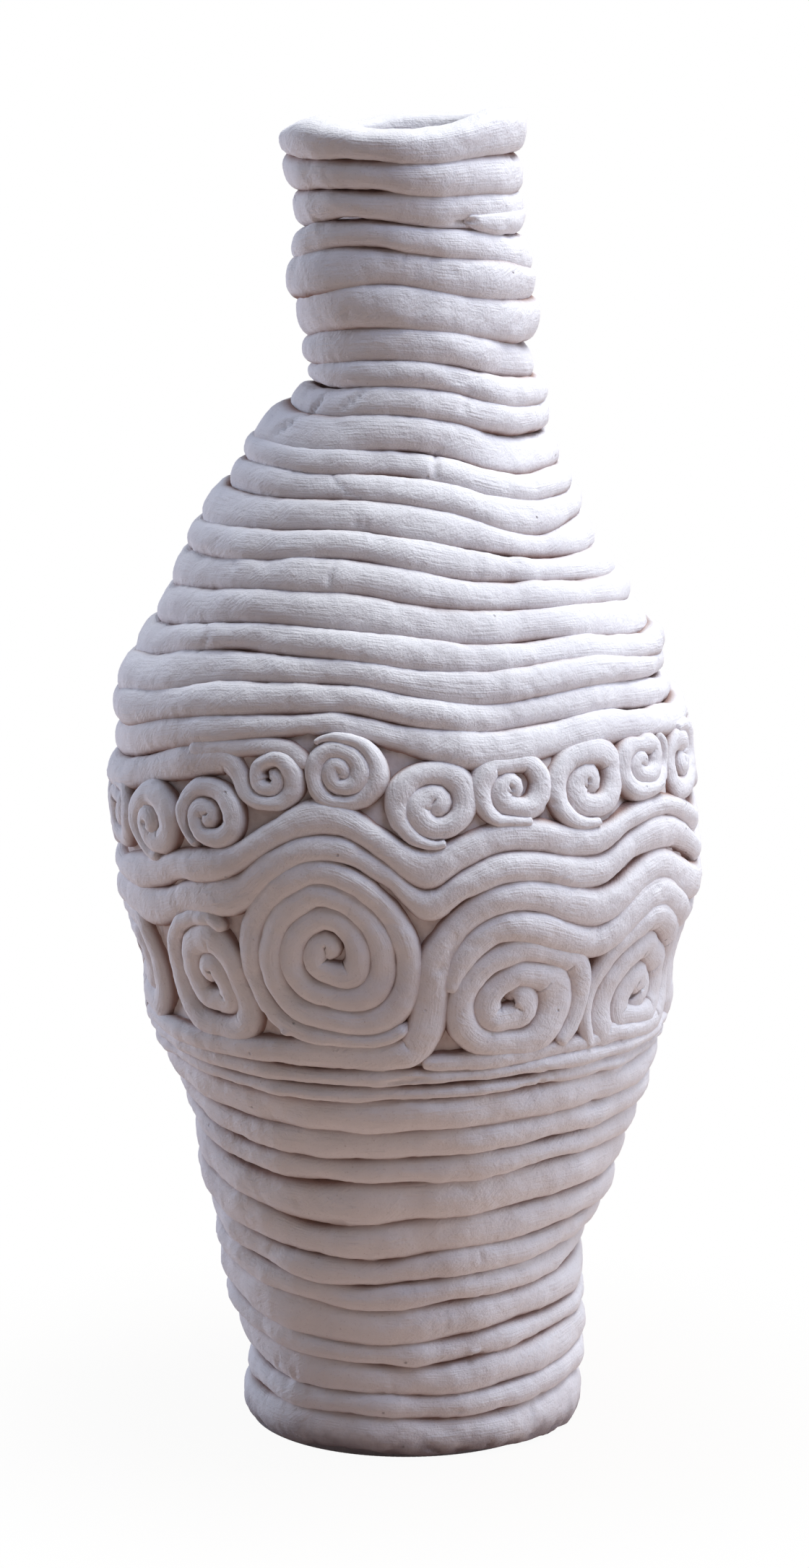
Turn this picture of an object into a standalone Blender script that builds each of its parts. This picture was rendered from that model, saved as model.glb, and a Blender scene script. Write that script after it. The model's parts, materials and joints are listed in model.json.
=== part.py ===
"""Coil-built vase of unglazed white clay, modelled rope by rope.

Every piece is laid out on the unrolled body: an azimuth in degrees round the
axis (0 at the front, positive to the right), a height, and a depth below the
outline of the body. place() wraps such a point onto the body. Neighbouring
ropes share one seam, each held half a contact gap back from it, so they seat on
each other and never overlap. Lengths are in millimetres until place() turns
them into metres.
"""

import math

import bmesh
import bpy
import numpy as np

MM = 0.001

# Body outline
FOOT_RADIUS = 64.0
BELLY_RADIUS = 112.0
NECK_RADIUS = 44.0
RIM_RADIUS = 47.5
FOOT_HEIGHT = 30.0
BELLY_HEIGHT = 238.0
NECK_HEIGHT = 408.0
NECK_LENGTH = 70.0
# Share of the way up, and of the change in radius, from foot to belly and from belly to neck
LOWER_SWELL = ((0.20, 0.17), (0.39, 0.40), (0.58, 0.68), (0.77, 0.86))
SHOULDER_FALL = ((0.20, 0.07), (0.42, 0.28), (0.66, 0.61), (0.88, 0.92))
# How far the axis wanders to the right at each height, as a hand-built pot's does
AXIS_WANDER = ((0, 1.5), (60, -0.8), (130, 2.4), (200, 0.0), (250, -0.8), (300, -4.0),
               (355, -4.4), (400, 4.2), (450, 0.6), (497, 1.9))

# Walls, ropes and clearances
WALL = 13.0
SLAB_THICKNESS = 5.5
CONTACT_GAP = 0.3
ROPE_GROOVE = 2.8
LOWER_GROOVE = 2.3
BAND_ROPE_DEPTH = 9.0
BACKING_GAP = 0.6
CURLED_ROPE = 11.0
EYE_RADIUS = 0.9
# A spiral's outer end: its thickness as a share of the rope's, and the turn it takes to thicken
END_THICKNESS = 0.5
END_TAPER = 0.25
# How far round its first turn a spiral gets before it closes in behind its outer end
CLOSING_IN = 0.7

# Height of each rope at the front, in the order in which they were laid
LOWER_ROPES = (10.5, 9.0, 11.0, 8.0, 15.0, 10.0, 11.0, 14.0, 17.0, 10.0, 11.0, 14.0, 6.5, 7.5)
LOWER_GROUPS = (3, 3, 3, 3, 2)
BAND_HEIGHT = 115.0
SHOULDER_ROPES = (11.0, 11.0, 11.0, 10.0, 12.0, 11.0, 10.0, 11.0, 9.0, 8.0, 11.5, 9.5, 9.0)
NECK_ROPES = (12.0, 14.5, 13.5, 10.0, 11.0, 11.0)
RIM_ROPE = 12.0

# Rise or dip of the seams round the body from their height at the front. Each row holds
# the front height that it stands for and the rise at each of SWAY_AZIMUTHS.
SWAY_AZIMUTHS = (-75, -45, -15, 15, 45, 75, 180)
SWAY = (
    (5.5, (0, 0, 0, 0, 0, 0, 0)),
    (25, (1, 0, 0, 0, 2, 6, 3)),
    (44, (9, 4, 1, 4, 7, 8, 8)),
    (69, (9, 3, 0, 3, 6, 8, 7)),
    (94, (9, 2, -1, 4, 7, 6, 6)),
    (111, (6, -1, -1, 2, 4, 3, 3)),
    (132, (4, 0, 0, 3, 4, 6, 3)),
    (160, (0, -2, -2, -1, 1, 1, 0)),
    (275, (-14, -1, 8, -1, 2, -1, 2)),
    (308, (-9, 1, 1, -3, -2, -9, -6)),
    (341, (-4, -2, 2, -4, -8, -11, -8)),
    (362, (-2, -1, 0, -4, -13, -12, -6)),
    (390, (0, -1, 0, -2, -8, -9, -5)),
    (421, (-6, -1, 1, -1, -6, -8, -8)),
    (449, (-5, 0, 1, -2, -5, -9, -7)),
    (481, (-2, -1, 0, 0, 1, 0, -1)),
    (493, (-3, -1, 0, 1, 3, 2, 4)),
)

# Crests and troughs of the three wave seams: azimuth, rise above the bottom of the band of
# the lower wave rope's underside, of the seam between the two, and of the upper one's top
WAVES = (
    (3.5, 56, 69, 83), (21, 70, 81, 91), (39, 62, 74, 86), (57, 72, 84, 93), (86, 57, 67, 78),
    (106, 70, 80, 88), (128, 56, 69, 83), (150, 71, 82, 91), (172, 59, 72, 85),
    (194, 62, 74, 85), (216, 47, 61, 75), (237, 49, 60, 71), (259, 37, 51, 65),
    (280, 43, 54, 63), (300, 41, 56, 69), (318, 53, 66, 76), (323, 52, 67, 77),
    (346, 78, 89, 97),
)
# How sharp the troughs stay, from a rope that hugs the rosettes to one that rides smoothly
WAVE_SHARPNESS = (0.9, 0.7, 0.35)
# The same for the undersides of the inner and outer arch ropes, over their own stretch
ARCHES = ((9, 38, 48), (20, 47, 59), (39, 36, 49), (57, 51, 60), (84, 32, 45),
          (106, 48, 59), (126, 38, 48))
ARCH_SHARPNESS = 0.7

# A spiral's place: azimuth and rise above the bottom of the band, azimuth of the rope's outer end
# in the spiral's own circle, the way it winds inwards as seen from outside (-1 clockwise,
# 1 anticlockwise), its turns, and its reach in millimetres at each of REACH_ANGLES
REACH_ANGLES = (0, 45, 90, 135, 180, 225, 270, 315)
ROSETTES = (
    (-78, 28, 250, -1, 2.7, (21, 22, 25, 23, 22, 23, 23, 22)),
    (-45.2, 28, 60, 1, 2.7, (16.8, 20, 25.6, 23.3, 23.3, 24, 21.8, 23.5)),
    (-16.4, 43.5, 318, -1, 4.3, (34, 31.2, 33.2, 31, 34.7, 36, 33.6, 37)),
    (23.2, 24, 318, 1, 2.7, (28.7, 24.5, 22.5, 24.6, 28, 26.4, 21.4, 26.5)),
    (57.5, 22, 212, -1, 3.2, (28, 27.5, 29.5, 28.5, 32.4, 32, 22.5, 25)),
    (104, 22, 330, 1, 2.9, (30, 27, 24, 27, 30, 27, 21.5, 27)),
    (150.5, 30, 250, -1, 3.4, (33, 31, 36, 31, 33, 29, 28.5, 29)),
    (194, 24, 300, 1, 3.0, (33, 30, 30, 30, 33, 26, 22.5, 26)),
    (236, 18, 220, -1, 2.7, (30, 26, 25, 26, 31, 23, 17, 23)),
)
# Small scrolls in front, in the same terms. The third lies under the end of the curled course.
SCROLLS = (
    (-75, 82, 120, -1, 2.2, (16, 15, 13, 15, 16, 15, 13.5, 15)),
    (-57.2, 83.3, 285, -1, 2.1, (16.6, 15.6, 14.8, 15, 16.5, 15, 14.8, 15.5)),
    (-40, 90.6, 245, -1, 2.2, (16, 14.6, 13.2, 14.5, 15.6, 14.2, 12.7, 13.7)),
    (-10.3, 110.5, 140, -1, 2.75, (15.6, 13.9, 12.6, 15.4, 15.4, 14.2, 12.8, 14)),
    (5, 99, 287, -1, 2.3, (16.3, 17.2, 14.8, 15.4, 15.5, 15.3, 14.8, 14.2)),
    (21.5, 104, 293, -1, 2.2, (15.8, 14.6, 12.9, 14.2, 15.4, 15.6, 11.8, 14.4)),
    (38.8, 102, 280, -1, 2.2, (16.6, 17.7, 15.2, 17.2, 17.2, 17, 14.4, 15.6)),
    (56.1, 105, 40, -1, 2.4, (16.2, 16.5, 11.5, 13.8, 15.6, 13.6, 11.3, 13.1)),
    (74, 101, 110, -1, 2.2, (17, 16.8, 14, 16.5, 16.6, 15.6, 14, 15.2)),
)
# The row round the back: how many scrolls, from where to where, their rise and their reach
BACK_SCROLLS = 10
BACK_SCROLLS_FROM = 83.5
BACK_SCROLLS_TO = 276.0
BACK_SCROLL_REACH = (17.8, 16, 14.5, 16, 17.8, 16, 14.5, 16)
BACK_SCROLL_TURNS = 2.3
BACK_SCROLL_FIRST = 60
BACK_SCROLL_TURNED = 50
# The course that curls: where it starts at the back, leaves its seam, and the scroll it ends in
CURLED_START = -165
CURLED_LEAVES = -37.5
CURLED_SCROLL = (-26.3, 106.2, 175, 1, 2.3, (14.3, 13, 10.4, 12.2, 14.2, 11.6, 10, 11.8))
# Both ends of the inner arch rope
INNER_ARCH = (11.9, 118.0)
# The outer arch rope's legs, and the tail that runs on under two rosettes: azimuth and height
LEFT_LEG = 4.9
RIGHT_LEG = 127.7
LEG_HALF_WIDTH = 2.8
TAIL = ((-58, 3.0), (-52, 3.8), (-45, 4.6), (-38, 6.2), (-31, 7.6), (-22, 7.6), (-12, 7.4),
        (-4, 7.6))
# Sections of the bend between tail and leg: azimuth from the leg's middle and rise of the lower
# right edge, then of the upper left one
TAIL_BEND = ((-1.6, 3.2, -5.0, 9.4), (1.6, 8.5, -3.2, 14.0))
# A leg's sections from the arch down: azimuth of the outer and inner edge from the leg's
# middle, and the height of each as a share of the way up to the wave rope
LEG_BEND = ((-0.3, 5.9, 0.95, 0.71), (-2.7, 4.2, 0.90, 0.63), (-3.0, 3.2, 0.78, 0.56),
            (-3.0, 2.6, 0.62, 0.46), (-2.8, 2.3, 0.46, 0.33), (-2.8, 2.4, 0.31, 0.20))

# Fineness
FINE = 48
COARSE = 24
ROSETTE_STEPS = 12
SCROLL_STEPS = 10
SHARP_ANGLE = 50

STATIONS = (np.arange(FINE) + 0.5) * 360.0 / FINE
CLAY = (0.83, 0.79, 0.80, 1.0)
CLAY_ROUGHNESS = 0.85


def glide(knots, values, at):
    """Smooth curve through the knots, with slopes taken from each knot's neighbours."""
    knots = np.asarray(knots, float)
    values = np.asarray(values, float)
    at = np.clip(at, knots[0], knots[-1])
    slopes = np.gradient(values, knots)
    i = np.clip(np.searchsorted(knots, at, side="right") - 1, 0, len(knots) - 2)
    span = knots[i + 1] - knots[i]
    t = (at - knots[i]) / span
    return ((1 + 2 * t) * (1 - t) ** 2 * values[i] + t * (1 - t) ** 2 * span * slopes[i]
            + t * t * (3 - 2 * t) * values[i + 1] - t * t * (1 - t) * span * slopes[i + 1])


def glide_round(azimuths, values, at):
    """The same round a full turn."""
    turns = np.concatenate([np.asarray(azimuths, float) + turn for turn in (-360, 0, 360)])
    return glide(turns, np.tile(values, 3), (np.asarray(at, float) + 180) % 360 - 180)


def outline_knots():
    """Heights and radii of the body's outline, from the foot up."""
    knots = [(0.0, FOOT_RADIUS), (FOOT_HEIGHT, FOOT_RADIUS)]
    for rise, share in LOWER_SWELL:
        knots.append((FOOT_HEIGHT + rise * (BELLY_HEIGHT - FOOT_HEIGHT),
                      FOOT_RADIUS + share * (BELLY_RADIUS - FOOT_RADIUS)))
    knots.append((BELLY_HEIGHT, BELLY_RADIUS))
    for rise, share in SHOULDER_FALL:
        knots.append((BELLY_HEIGHT + rise * (NECK_HEIGHT - BELLY_HEIGHT),
                      BELLY_RADIUS + share * (NECK_RADIUS - BELLY_RADIUS)))
    knots.append((NECK_HEIGHT, NECK_RADIUS))
    knots.append((NECK_HEIGHT + NECK_LENGTH, NECK_RADIUS + 0.5))
    knots.append((NECK_HEIGHT + NECK_LENGTH + 10, RIM_RADIUS))
    knots.append((NECK_HEIGHT + NECK_LENGTH + 22, RIM_RADIUS))
    return np.array(knots).T


OUTLINE = outline_knots()


def outline(height):
    """Outer radius of the body at a height."""
    return glide(OUTLINE[0], OUTLINE[1], height)


def place(azimuth, height, radius):
    """A point of the body in metres."""
    heights, shifts = zip(*AXIS_WANDER)
    shift = glide(heights, shifts, height)
    turn = math.radians(azimuth)
    return ((shift + radius * math.sin(turn)) * MM, -radius * math.cos(turn) * MM, height * MM)


def sway(front_height):
    """Rise of a seam round the body, at every station."""
    heights = [row[0] for row in SWAY]
    rows = np.array([glide_round(SWAY_AZIMUTHS, row[1], STATIONS) for row in SWAY])
    return np.array([np.interp(front_height, heights, column) for column in rows.T])


def seam(front_height, fine=False):
    """Heights of a seam at every station, straight between the coarse ones unless fine."""
    heights = front_height + sway(front_height)
    if not fine:
        step = FINE // COARSE
        kept = np.append(heights[::step], heights[0])
        heights = np.interp(np.arange(FINE) / step, np.arange(COARSE + 1), kept)
    return heights


def on(heights, azimuth):
    """Height of a seam at any azimuth."""
    return float(np.interp(azimuth, STATIONS, heights, period=360))


def drape(azimuths, rises, sharpness, at):
    """Height of a draped rope's edge: broad over each crest and narrow in each trough."""
    i = int(np.clip(np.searchsorted(azimuths, at, side="right") - 1, 0, len(azimuths) - 2))
    start, end = rises[i], rises[i + 1]
    t = (at - azimuths[i]) / (azimuths[i + 1] - azimuths[i])
    low, high = min(start, end), max(start, end)
    climb = t if end > start else 1 - t
    narrow = math.sin(math.pi / 2 * climb)
    even = (1 - math.cos(math.pi * climb)) / 2
    return low + (high - low) * (sharpness * narrow + (1 - sharpness) * even)


def wave_seams(band_floor):
    """The three wave seams, from the lowest up."""
    azimuths = [row[0] for row in WAVES] + [WAVES[0][0] + 360]
    seams = []
    for column, sharpness in enumerate(WAVE_SHARPNESS, start=1):
        rises = [row[column] for row in WAVES] + [WAVES[0][column]]
        at = np.where(STATIONS < azimuths[0], STATIONS + 360, STATIONS)
        seams.append(band_floor + np.array([drape(azimuths, rises, sharpness, a) for a in at]))
    return seams


def arch_seams(band_floor):
    """The undersides of the inner and outer arch ropes, level beyond their stretch."""
    azimuths = [row[0] for row in ARCHES]
    return [band_floor + np.array([drape(azimuths, [row[column] for row in ARCHES],
                                         ARCH_SHARPNESS, a)
                                   for a in np.clip(STATIONS, azimuths[0], azimuths[-1])])
            for column in (1, 2)]


def clay():
    """Dry unglazed clay."""
    material = bpy.data.materials.new("bisque_clay")
    material.use_nodes = True
    shader = material.node_tree.nodes["Principled BSDF"]
    shader.inputs["Base Color"].default_value = CLAY
    shader.inputs["Roughness"].default_value = CLAY_ROUGHNESS
    return material


def loft(name, sections, closed, material):
    """Joins a row of equal sections into one closed body, as a ring or with capped ends."""
    bm = bmesh.new()
    loops = [[bm.verts.new(place(*point)) for point in section] for section in sections]
    following = loops[1:] + loops[:1] if closed else loops[1:]
    for section, here, there in zip(sections, loops, following):
        for k, corner in enumerate(here):
            beside = (k + 1) % len(here)
            across = (corner, here[beside], there[beside], there[k])
            # Both sides of a seam are split from the inside of this section to the outside
            # of the next, so that they stay a contact gap apart where the seam climbs.
            first = 0 if section[k][2] <= section[beside][2] else 1
            a, b, c, d = across[first:] + across[:first]
            bm.faces.new((a, b, c))
            bm.faces.new((a, c, d))
    if not closed:
        bm.faces.new(loops[0])
        bm.faces.new(loops[-1])
    bmesh.ops.recalc_face_normals(bm, faces=bm.faces)
    mesh = bpy.data.meshes.new(name)
    bm.to_mesh(mesh)
    bm.free()
    mesh.materials.append(material)
    mesh.shade_smooth()
    mesh.set_sharp_from_angle(angle=math.radians(SHARP_ANGLE))
    piece = bpy.data.objects.new(name, mesh)
    bpy.context.collection.objects.link(piece)
    return piece


def course_section(azimuth, seams, groove):
    """Section through one rope, or through ropes smeared into one wall, from seam to seam."""
    bottom = seams[0] + CONTACT_GAP / 2
    top = seams[-1] - CONTACT_GAP / 2
    points = [(azimuth, bottom, outline(bottom) - WALL), (azimuth, top, outline(top) - WALL)]
    outer = [(azimuth, bottom, outline(bottom) - groove)]
    for low, high in zip(seams, seams[1:]):
        low = max(low, bottom)
        high = min(high, top)
        middle = (low + high) / 2
        for share in (0.27, 0.73):
            height = low + share * (high - low)
            outer.append((azimuth, height, (outline(height) + outline(middle)) / 2))
        outer.append((azimuth, high, outline(high) - groove))
    return points + outer[::-1]


def rim_section(azimuth, low, high):
    """Section through the topmost rope, rounded over into the mouth."""
    bottom = low + CONTACT_GAP / 2
    outer = outline(bottom)
    rise = high - bottom
    across = ((0.0, WALL), (0.5, WALL + 0.6), (0.86, WALL - 2.2), (1.0, WALL * 0.55),
              (0.9, 1.8), (0.55, 0.0), (0.2, 0.6), (0.0, ROPE_GROOVE))
    return [(azimuth, bottom + share * rise, outer - depth) for share, depth in across]


def course(name, seams, groove, material, stations=COARSE):
    """A rope, or a few smeared ones, laid as a closed ring."""
    step = FINE // stations
    sections = [course_section(STATIONS[i], [s[i] for s in seams], groove)
                for i in range(0, FINE, step)]
    return loft(name, sections, True, material)


def band_section(low, high):
    """Section through a rope of the band, between two points (azimuth, height) on its edges."""
    def across(share, depth):
        azimuth = low[0] + share * (high[0] - low[0])
        height = low[1] + share * (high[1] - low[1])
        return azimuth, height, outline(height) - depth
    back = BAND_ROPE_DEPTH - BACKING_GAP
    return [across(0, back), across(1, back), across(1, ROPE_GROOVE), across(0.7, 0.2),
            across(0.3, 0.2), across(0, ROPE_GROOVE)]


def seam_section(azimuth, low, high):
    """Section through a band rope that lies between two seams."""
    half = CONTACT_GAP / 2
    return band_section((azimuth, on(low, azimuth) + half), (azimuth, on(high, azimuth) - half))


def spiral_reach(cell, base, floor, ceiling, angle):
    """How far a spiral reaches at an angle, held back from what lies above and below it."""
    middle, rise, reaches = cell[0], cell[1], cell[5]
    centre = base + rise
    millimetres = math.radians(1) * outline(centre)
    reach = float(glide_round(REACH_ANGLES, reaches, math.degrees(angle)))
    while reach > EYE_RADIUS:
        azimuth = middle + reach * math.cos(angle) / millimetres
        height = centre + reach * math.sin(angle)
        if floor(azimuth) + CONTACT_GAP <= height <= ceiling(azimuth) - CONTACT_GAP:
            break
        reach -= 0.1
    return reach


def spiral(cell, base, floor, ceiling, steps, end_thickness=END_THICKNESS):
    """Inner and outer edges of a rope wound into a flat spiral, from its outer end in."""
    middle, rise, end_angle, way, turns, reaches = cell
    centre = base + rise
    millimetres = math.radians(1) * outline(centre)
    size = sum(reaches) / len(reaches)
    pitch = 0.95 / turns
    eye = EYE_RADIUS / size
    gap = CONTACT_GAP / size

    def inner_share(turn):
        kept = sum(weight * max(0.0, 1 - abs(turn - passed) / END_TAPER)
                   for passed, weight in enumerate((1.0, 0.5)))
        return 1 - pitch * (1 + turn) + pitch * (1 - end_thickness) * kept

    def outer_share(turn):
        if turn >= 1:
            return inner_share(turn - 1)
        return 1 - (1 - inner_share(0)) * max(0.0, turn - CLOSING_IN) / (1 - CLOSING_IN)

    count = round((turns - 0.7) * steps)
    edges = []
    for i in range(count + 1):
        turn = i / steps
        angle = math.radians(end_angle) + way * 2 * math.pi * turn
        inner = inner_share(turn) + gap
        last = turn - (count / steps - 1)
        if last > 0:
            inner -= 1.2 * last * pitch
        reach = spiral_reach(cell, base, floor, ceiling, angle)
        edges.append([(middle + share * reach * math.cos(angle) / millimetres,
                       centre + share * reach * math.sin(angle))
                      for share in (max(eye, inner), outer_share(turn))])
    return edges


def back_scrolls(floor, ceiling, base):
    """The scrolls that fill the row round the back, each turned a little from the last."""
    width = (BACK_SCROLLS_TO - BACK_SCROLLS_FROM) / BACK_SCROLLS
    cells = []
    for k in range(BACK_SCROLLS):
        middle = BACK_SCROLLS_FROM + (k + 0.5) * width
        rise = (floor(middle) + ceiling(middle)) / 2 - base
        turned = BACK_SCROLL_FIRST + BACK_SCROLL_TURNED * k
        cells.append((middle, rise, turned, -1, BACK_SCROLL_TURNS, BACK_SCROLL_REACH))
    return tuple(cells)


def leg(azimuth, way, floor, top):
    """Sections of the outer arch rope's leg between two rosettes, from the arch down."""
    base = floor(azimuth)
    sections = []
    for outer, inner, outer_share, inner_share in LEG_BEND:
        far = (azimuth + way * outer, base + outer_share * (top - base) - CONTACT_GAP)
        near = (azimuth + way * inner, base + inner_share * (top - base))
        sections.append(band_section(near, far))
    return sections


def outer_arch(floor, arch, wave, material):
    """The rope that runs under a rosette, up between two, over three and down again."""
    half = CONTACT_GAP / 2
    tail = [band_section((a, floor(a) + half), (a, floor(a) + height)) for a, height in TAIL]
    foot_floor = floor(LEFT_LEG)
    bend = [band_section((LEFT_LEG + low, foot_floor + low_rise),
                         (LEFT_LEG + high, foot_floor + high_rise))
            for low, low_rise, high, high_rise in TAIL_BEND]
    left = leg(LEFT_LEG, 1, floor, on(wave, LEFT_LEG))[::-1]
    over = [seam_section(a, arch, wave)
            for a in STATIONS if ARCHES[0][0] < a < ARCHES[-1][0] - LEG_HALF_WIDTH]
    right = leg(RIGHT_LEG, -1, floor, on(wave, RIGHT_LEG))
    foot = [band_section((RIGHT_LEG - LEG_HALF_WIDTH, floor(RIGHT_LEG) + 2),
                         (RIGHT_LEG + LEG_HALF_WIDTH, floor(RIGHT_LEG) + 2))]
    return loft("arch_rope_outer", tail + bend + left + over + right + foot, False, material)


def inner_arch(under, over, material):
    """The rope laid under the outer arch, with its ends tucked against the legs."""
    between = [a for a in STATIONS if INNER_ARCH[0] < a < INNER_ARCH[1]]
    sections = [seam_section(a, under, over) for a in [INNER_ARCH[0]] + between]
    return loft("arch_rope_inner", sections, False, material)


def curled_course(course_seam, base, material):
    """The course that lies on its seam round the left, turns down and curls into a scroll."""
    half = CONTACT_GAP / 2
    start = CURLED_START % 360
    end = CURLED_LEAVES % 360
    sections = [band_section((a, on(course_seam, a) - CURLED_ROPE + half),
                             (a, on(course_seam, a) - half))
                for a in STATIONS if start <= a <= end]

    def floor(azimuth):
        return base

    def ceiling(azimuth):
        return on(course_seam, azimuth)

    edges = spiral(CURLED_SCROLL, base, floor, ceiling, SCROLL_STEPS, 1.0)
    under = (CURLED_LEAVES + 3.2, on(course_seam, CURLED_LEAVES) - CURLED_ROPE)
    over = (edges[0][0][0] + 0.7, base + CURLED_SCROLL[1] + CURLED_SCROLL[5][2])
    sections.append(band_section(under, over))
    sections += [band_section(outer, inner) for inner, outer in edges]
    return loft("curled_course", sections, False, material)


def base_slab(top, material):
    """The flat disc that the first rope stands on."""
    radius = FOOT_RADIUS - LOWER_GROOVE
    height = top - CONTACT_GAP / 2
    sections = [[(a, 0.0, 0.0), (a, 0.0, radius - 1.5), (a, 1.5, radius), (a, height, radius),
                 (a, height, 0.0)] for a in STATIONS[::2]]
    bm = bmesh.new()
    rings = [[bm.verts.new(place(*section[k])) for section in sections] for k in (1, 2, 3)]
    for lower, upper in zip(rings, rings[1:]):
        for i, corner in enumerate(lower):
            beside = (i + 1) % len(lower)
            bm.faces.new((corner, lower[beside], upper[beside], upper[i]))
    bm.faces.new(rings[0][::-1])
    bm.faces.new(rings[-1])
    bmesh.ops.recalc_face_normals(bm, faces=bm.faces)
    mesh = bpy.data.meshes.new("base_slab")
    bm.to_mesh(mesh)
    bm.free()
    mesh.materials.append(material)
    piece = bpy.data.objects.new("base_slab", mesh)
    bpy.context.collection.objects.link(piece)
    return piece


def backing(low, high, material):
    """The smeared clay wall behind the rosettes, arches, waves and scrolls."""
    sections = []
    for i, azimuth in enumerate(STATIONS):
        bottom = low[i] + CONTACT_GAP / 2
        top = high[i] - CONTACT_GAP / 2
        inner = [(azimuth, height, outline(height) - WALL)
                 for height in (bottom, (bottom + top) / 2, top)]
        outer = [(azimuth, height, outline(height) - BAND_ROPE_DEPTH)
                 for height in np.linspace(top, bottom, 5)]
        sections.append(inner + outer)
    return loft("band_backing", sections, True, material)


def build():
    for thing in list(bpy.data.objects):
        bpy.data.objects.remove(thing)
    material = clay()

    front = SLAB_THICKNESS
    lower = [seam(front)]
    base_slab(front, material)
    for rope in LOWER_ROPES:
        front += rope
        lower.append(seam(front))
    first = 0
    for number, group in enumerate(LOWER_GROUPS, start=1):
        course(f"lower_wall_{number}", lower[first:first + group + 1], LOWER_GROOVE, material)
        first += group

    band_floor = lower[-1]
    band_front = front
    front += BAND_HEIGHT
    band_top = seam(front, fine=True)
    backing(band_floor, band_top, material)
    waves = wave_seams(band_front)
    course_like = zip(waves, waves[1:], ("wave_rope_lower", "wave_rope_upper"))
    for low, high, name in course_like:
        loft(name, [seam_section(a, low, high) for a in STATIONS], True, material)
    inner_low, outer_low = arch_seams(band_front)

    def floor(azimuth):
        turned = (azimuth + 180) % 360 - 180
        level = on(band_floor, azimuth)
        if TAIL[0][0] - 2 < turned < LEFT_LEG - LEG_HALF_WIDTH:
            level += float(np.interp(turned, *zip(*TAIL))) + CONTACT_GAP
        return level

    def wall_top(azimuth):
        return on(band_floor, azimuth)

    def ceiling(azimuth):
        turned = azimuth % 360
        arched = INNER_ARCH[0] < turned < INNER_ARCH[1]
        return on(inner_low, azimuth) if arched else on(waves[0], azimuth)

    for number, cell in enumerate(ROSETTES, start=1):
        edges = spiral(cell, band_front, floor, ceiling, ROSETTE_STEPS)
        loft(f"rosette_{number}", [band_section(*edge) for edge in edges], False, material)
    outer_arch(wall_top, outer_low, waves[0], material)
    inner_arch(inner_low, outer_low, material)

    def row_floor(azimuth):
        return on(waves[2], azimuth)

    def row_ceiling(azimuth):
        covered = CURLED_START - 2 < (azimuth + 180) % 360 - 180 < CURLED_LEAVES + 3
        return on(band_top, azimuth) - (CURLED_ROPE if covered else 0)

    curled_course(band_top, band_front, material)
    for number, cell in enumerate(SCROLLS + back_scrolls(row_floor, row_ceiling, band_front), 1):
        edges = spiral(cell, band_front, row_floor, row_ceiling, SCROLL_STEPS)
        loft(f"scroll_{number:02d}", [band_section(*edge) for edge in edges], False, material)

    last = band_top
    for number, rope in enumerate(SHOULDER_ROPES, start=1):
        front += rope
        following = seam(front)
        stations = FINE if number == 1 else COARSE
        course(f"shoulder_course_{number:02d}", [last, following], ROPE_GROOVE, material, stations)
        last = following
    for number, rope in enumerate(NECK_ROPES, start=1):
        front += rope
        following = seam(front)
        course(f"neck_course_{number}", [last, following], ROPE_GROOVE, material)
        last = following
    top = seam(front + RIM_ROPE)
    loft("rim_course", [rim_section(STATIONS[i], last[i], top[i])
                        for i in range(0, FINE, FINE // COARSE)], True, material)


build()
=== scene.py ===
"""Coil-built vase of unglazed white clay, its ropes rolled and laid over the solid frame.

The body is unrolled into an azimuth in degrees (0 at the front, positive to the right),
a height and a depth below the outline, in millimetres. The frame's rings give the outline,
the seams between the ropes and the room of each spiral, and the ropes are laid along them.
"""

import json
import math
from dataclasses import dataclass

import bpy
import numpy as np
from bpy.props import FloatProperty, FloatVectorProperty, IntProperty, PointerProperty
from bpy.types import Operator, Panel, PropertyGroup
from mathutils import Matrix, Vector, noise

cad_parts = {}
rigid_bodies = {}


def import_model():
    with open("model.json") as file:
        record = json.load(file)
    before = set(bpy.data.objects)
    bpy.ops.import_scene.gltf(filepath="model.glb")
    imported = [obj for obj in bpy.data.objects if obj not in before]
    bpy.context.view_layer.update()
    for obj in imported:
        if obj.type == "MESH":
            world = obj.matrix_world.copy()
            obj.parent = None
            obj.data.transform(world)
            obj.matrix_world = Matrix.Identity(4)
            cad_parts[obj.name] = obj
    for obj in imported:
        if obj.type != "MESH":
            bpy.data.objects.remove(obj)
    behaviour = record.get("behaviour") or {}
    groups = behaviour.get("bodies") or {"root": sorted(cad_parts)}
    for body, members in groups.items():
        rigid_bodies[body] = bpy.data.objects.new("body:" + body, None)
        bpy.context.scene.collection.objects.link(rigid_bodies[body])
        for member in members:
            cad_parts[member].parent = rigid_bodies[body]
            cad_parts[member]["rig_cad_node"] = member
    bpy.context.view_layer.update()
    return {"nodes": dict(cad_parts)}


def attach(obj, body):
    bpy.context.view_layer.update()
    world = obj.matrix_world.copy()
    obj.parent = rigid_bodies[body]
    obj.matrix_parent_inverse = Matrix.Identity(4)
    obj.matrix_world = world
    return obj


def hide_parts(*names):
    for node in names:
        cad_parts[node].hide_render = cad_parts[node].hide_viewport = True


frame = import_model()

bl_info = {
    "name": "Coil-built vase",
    "version": (1, 0, 0),
    "blender": (4, 5, 0),
    "location": "View3D > Sidebar > Vase",
    "description": "Rolls, lays and smears the clay ropes of a coil-built vase",
    "category": "Add Mesh",
}

MM = 0.001
BODY = "root"

# The frame's rings have a section every STATION degrees, the first half a step from the front
STATION = 7.5
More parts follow.
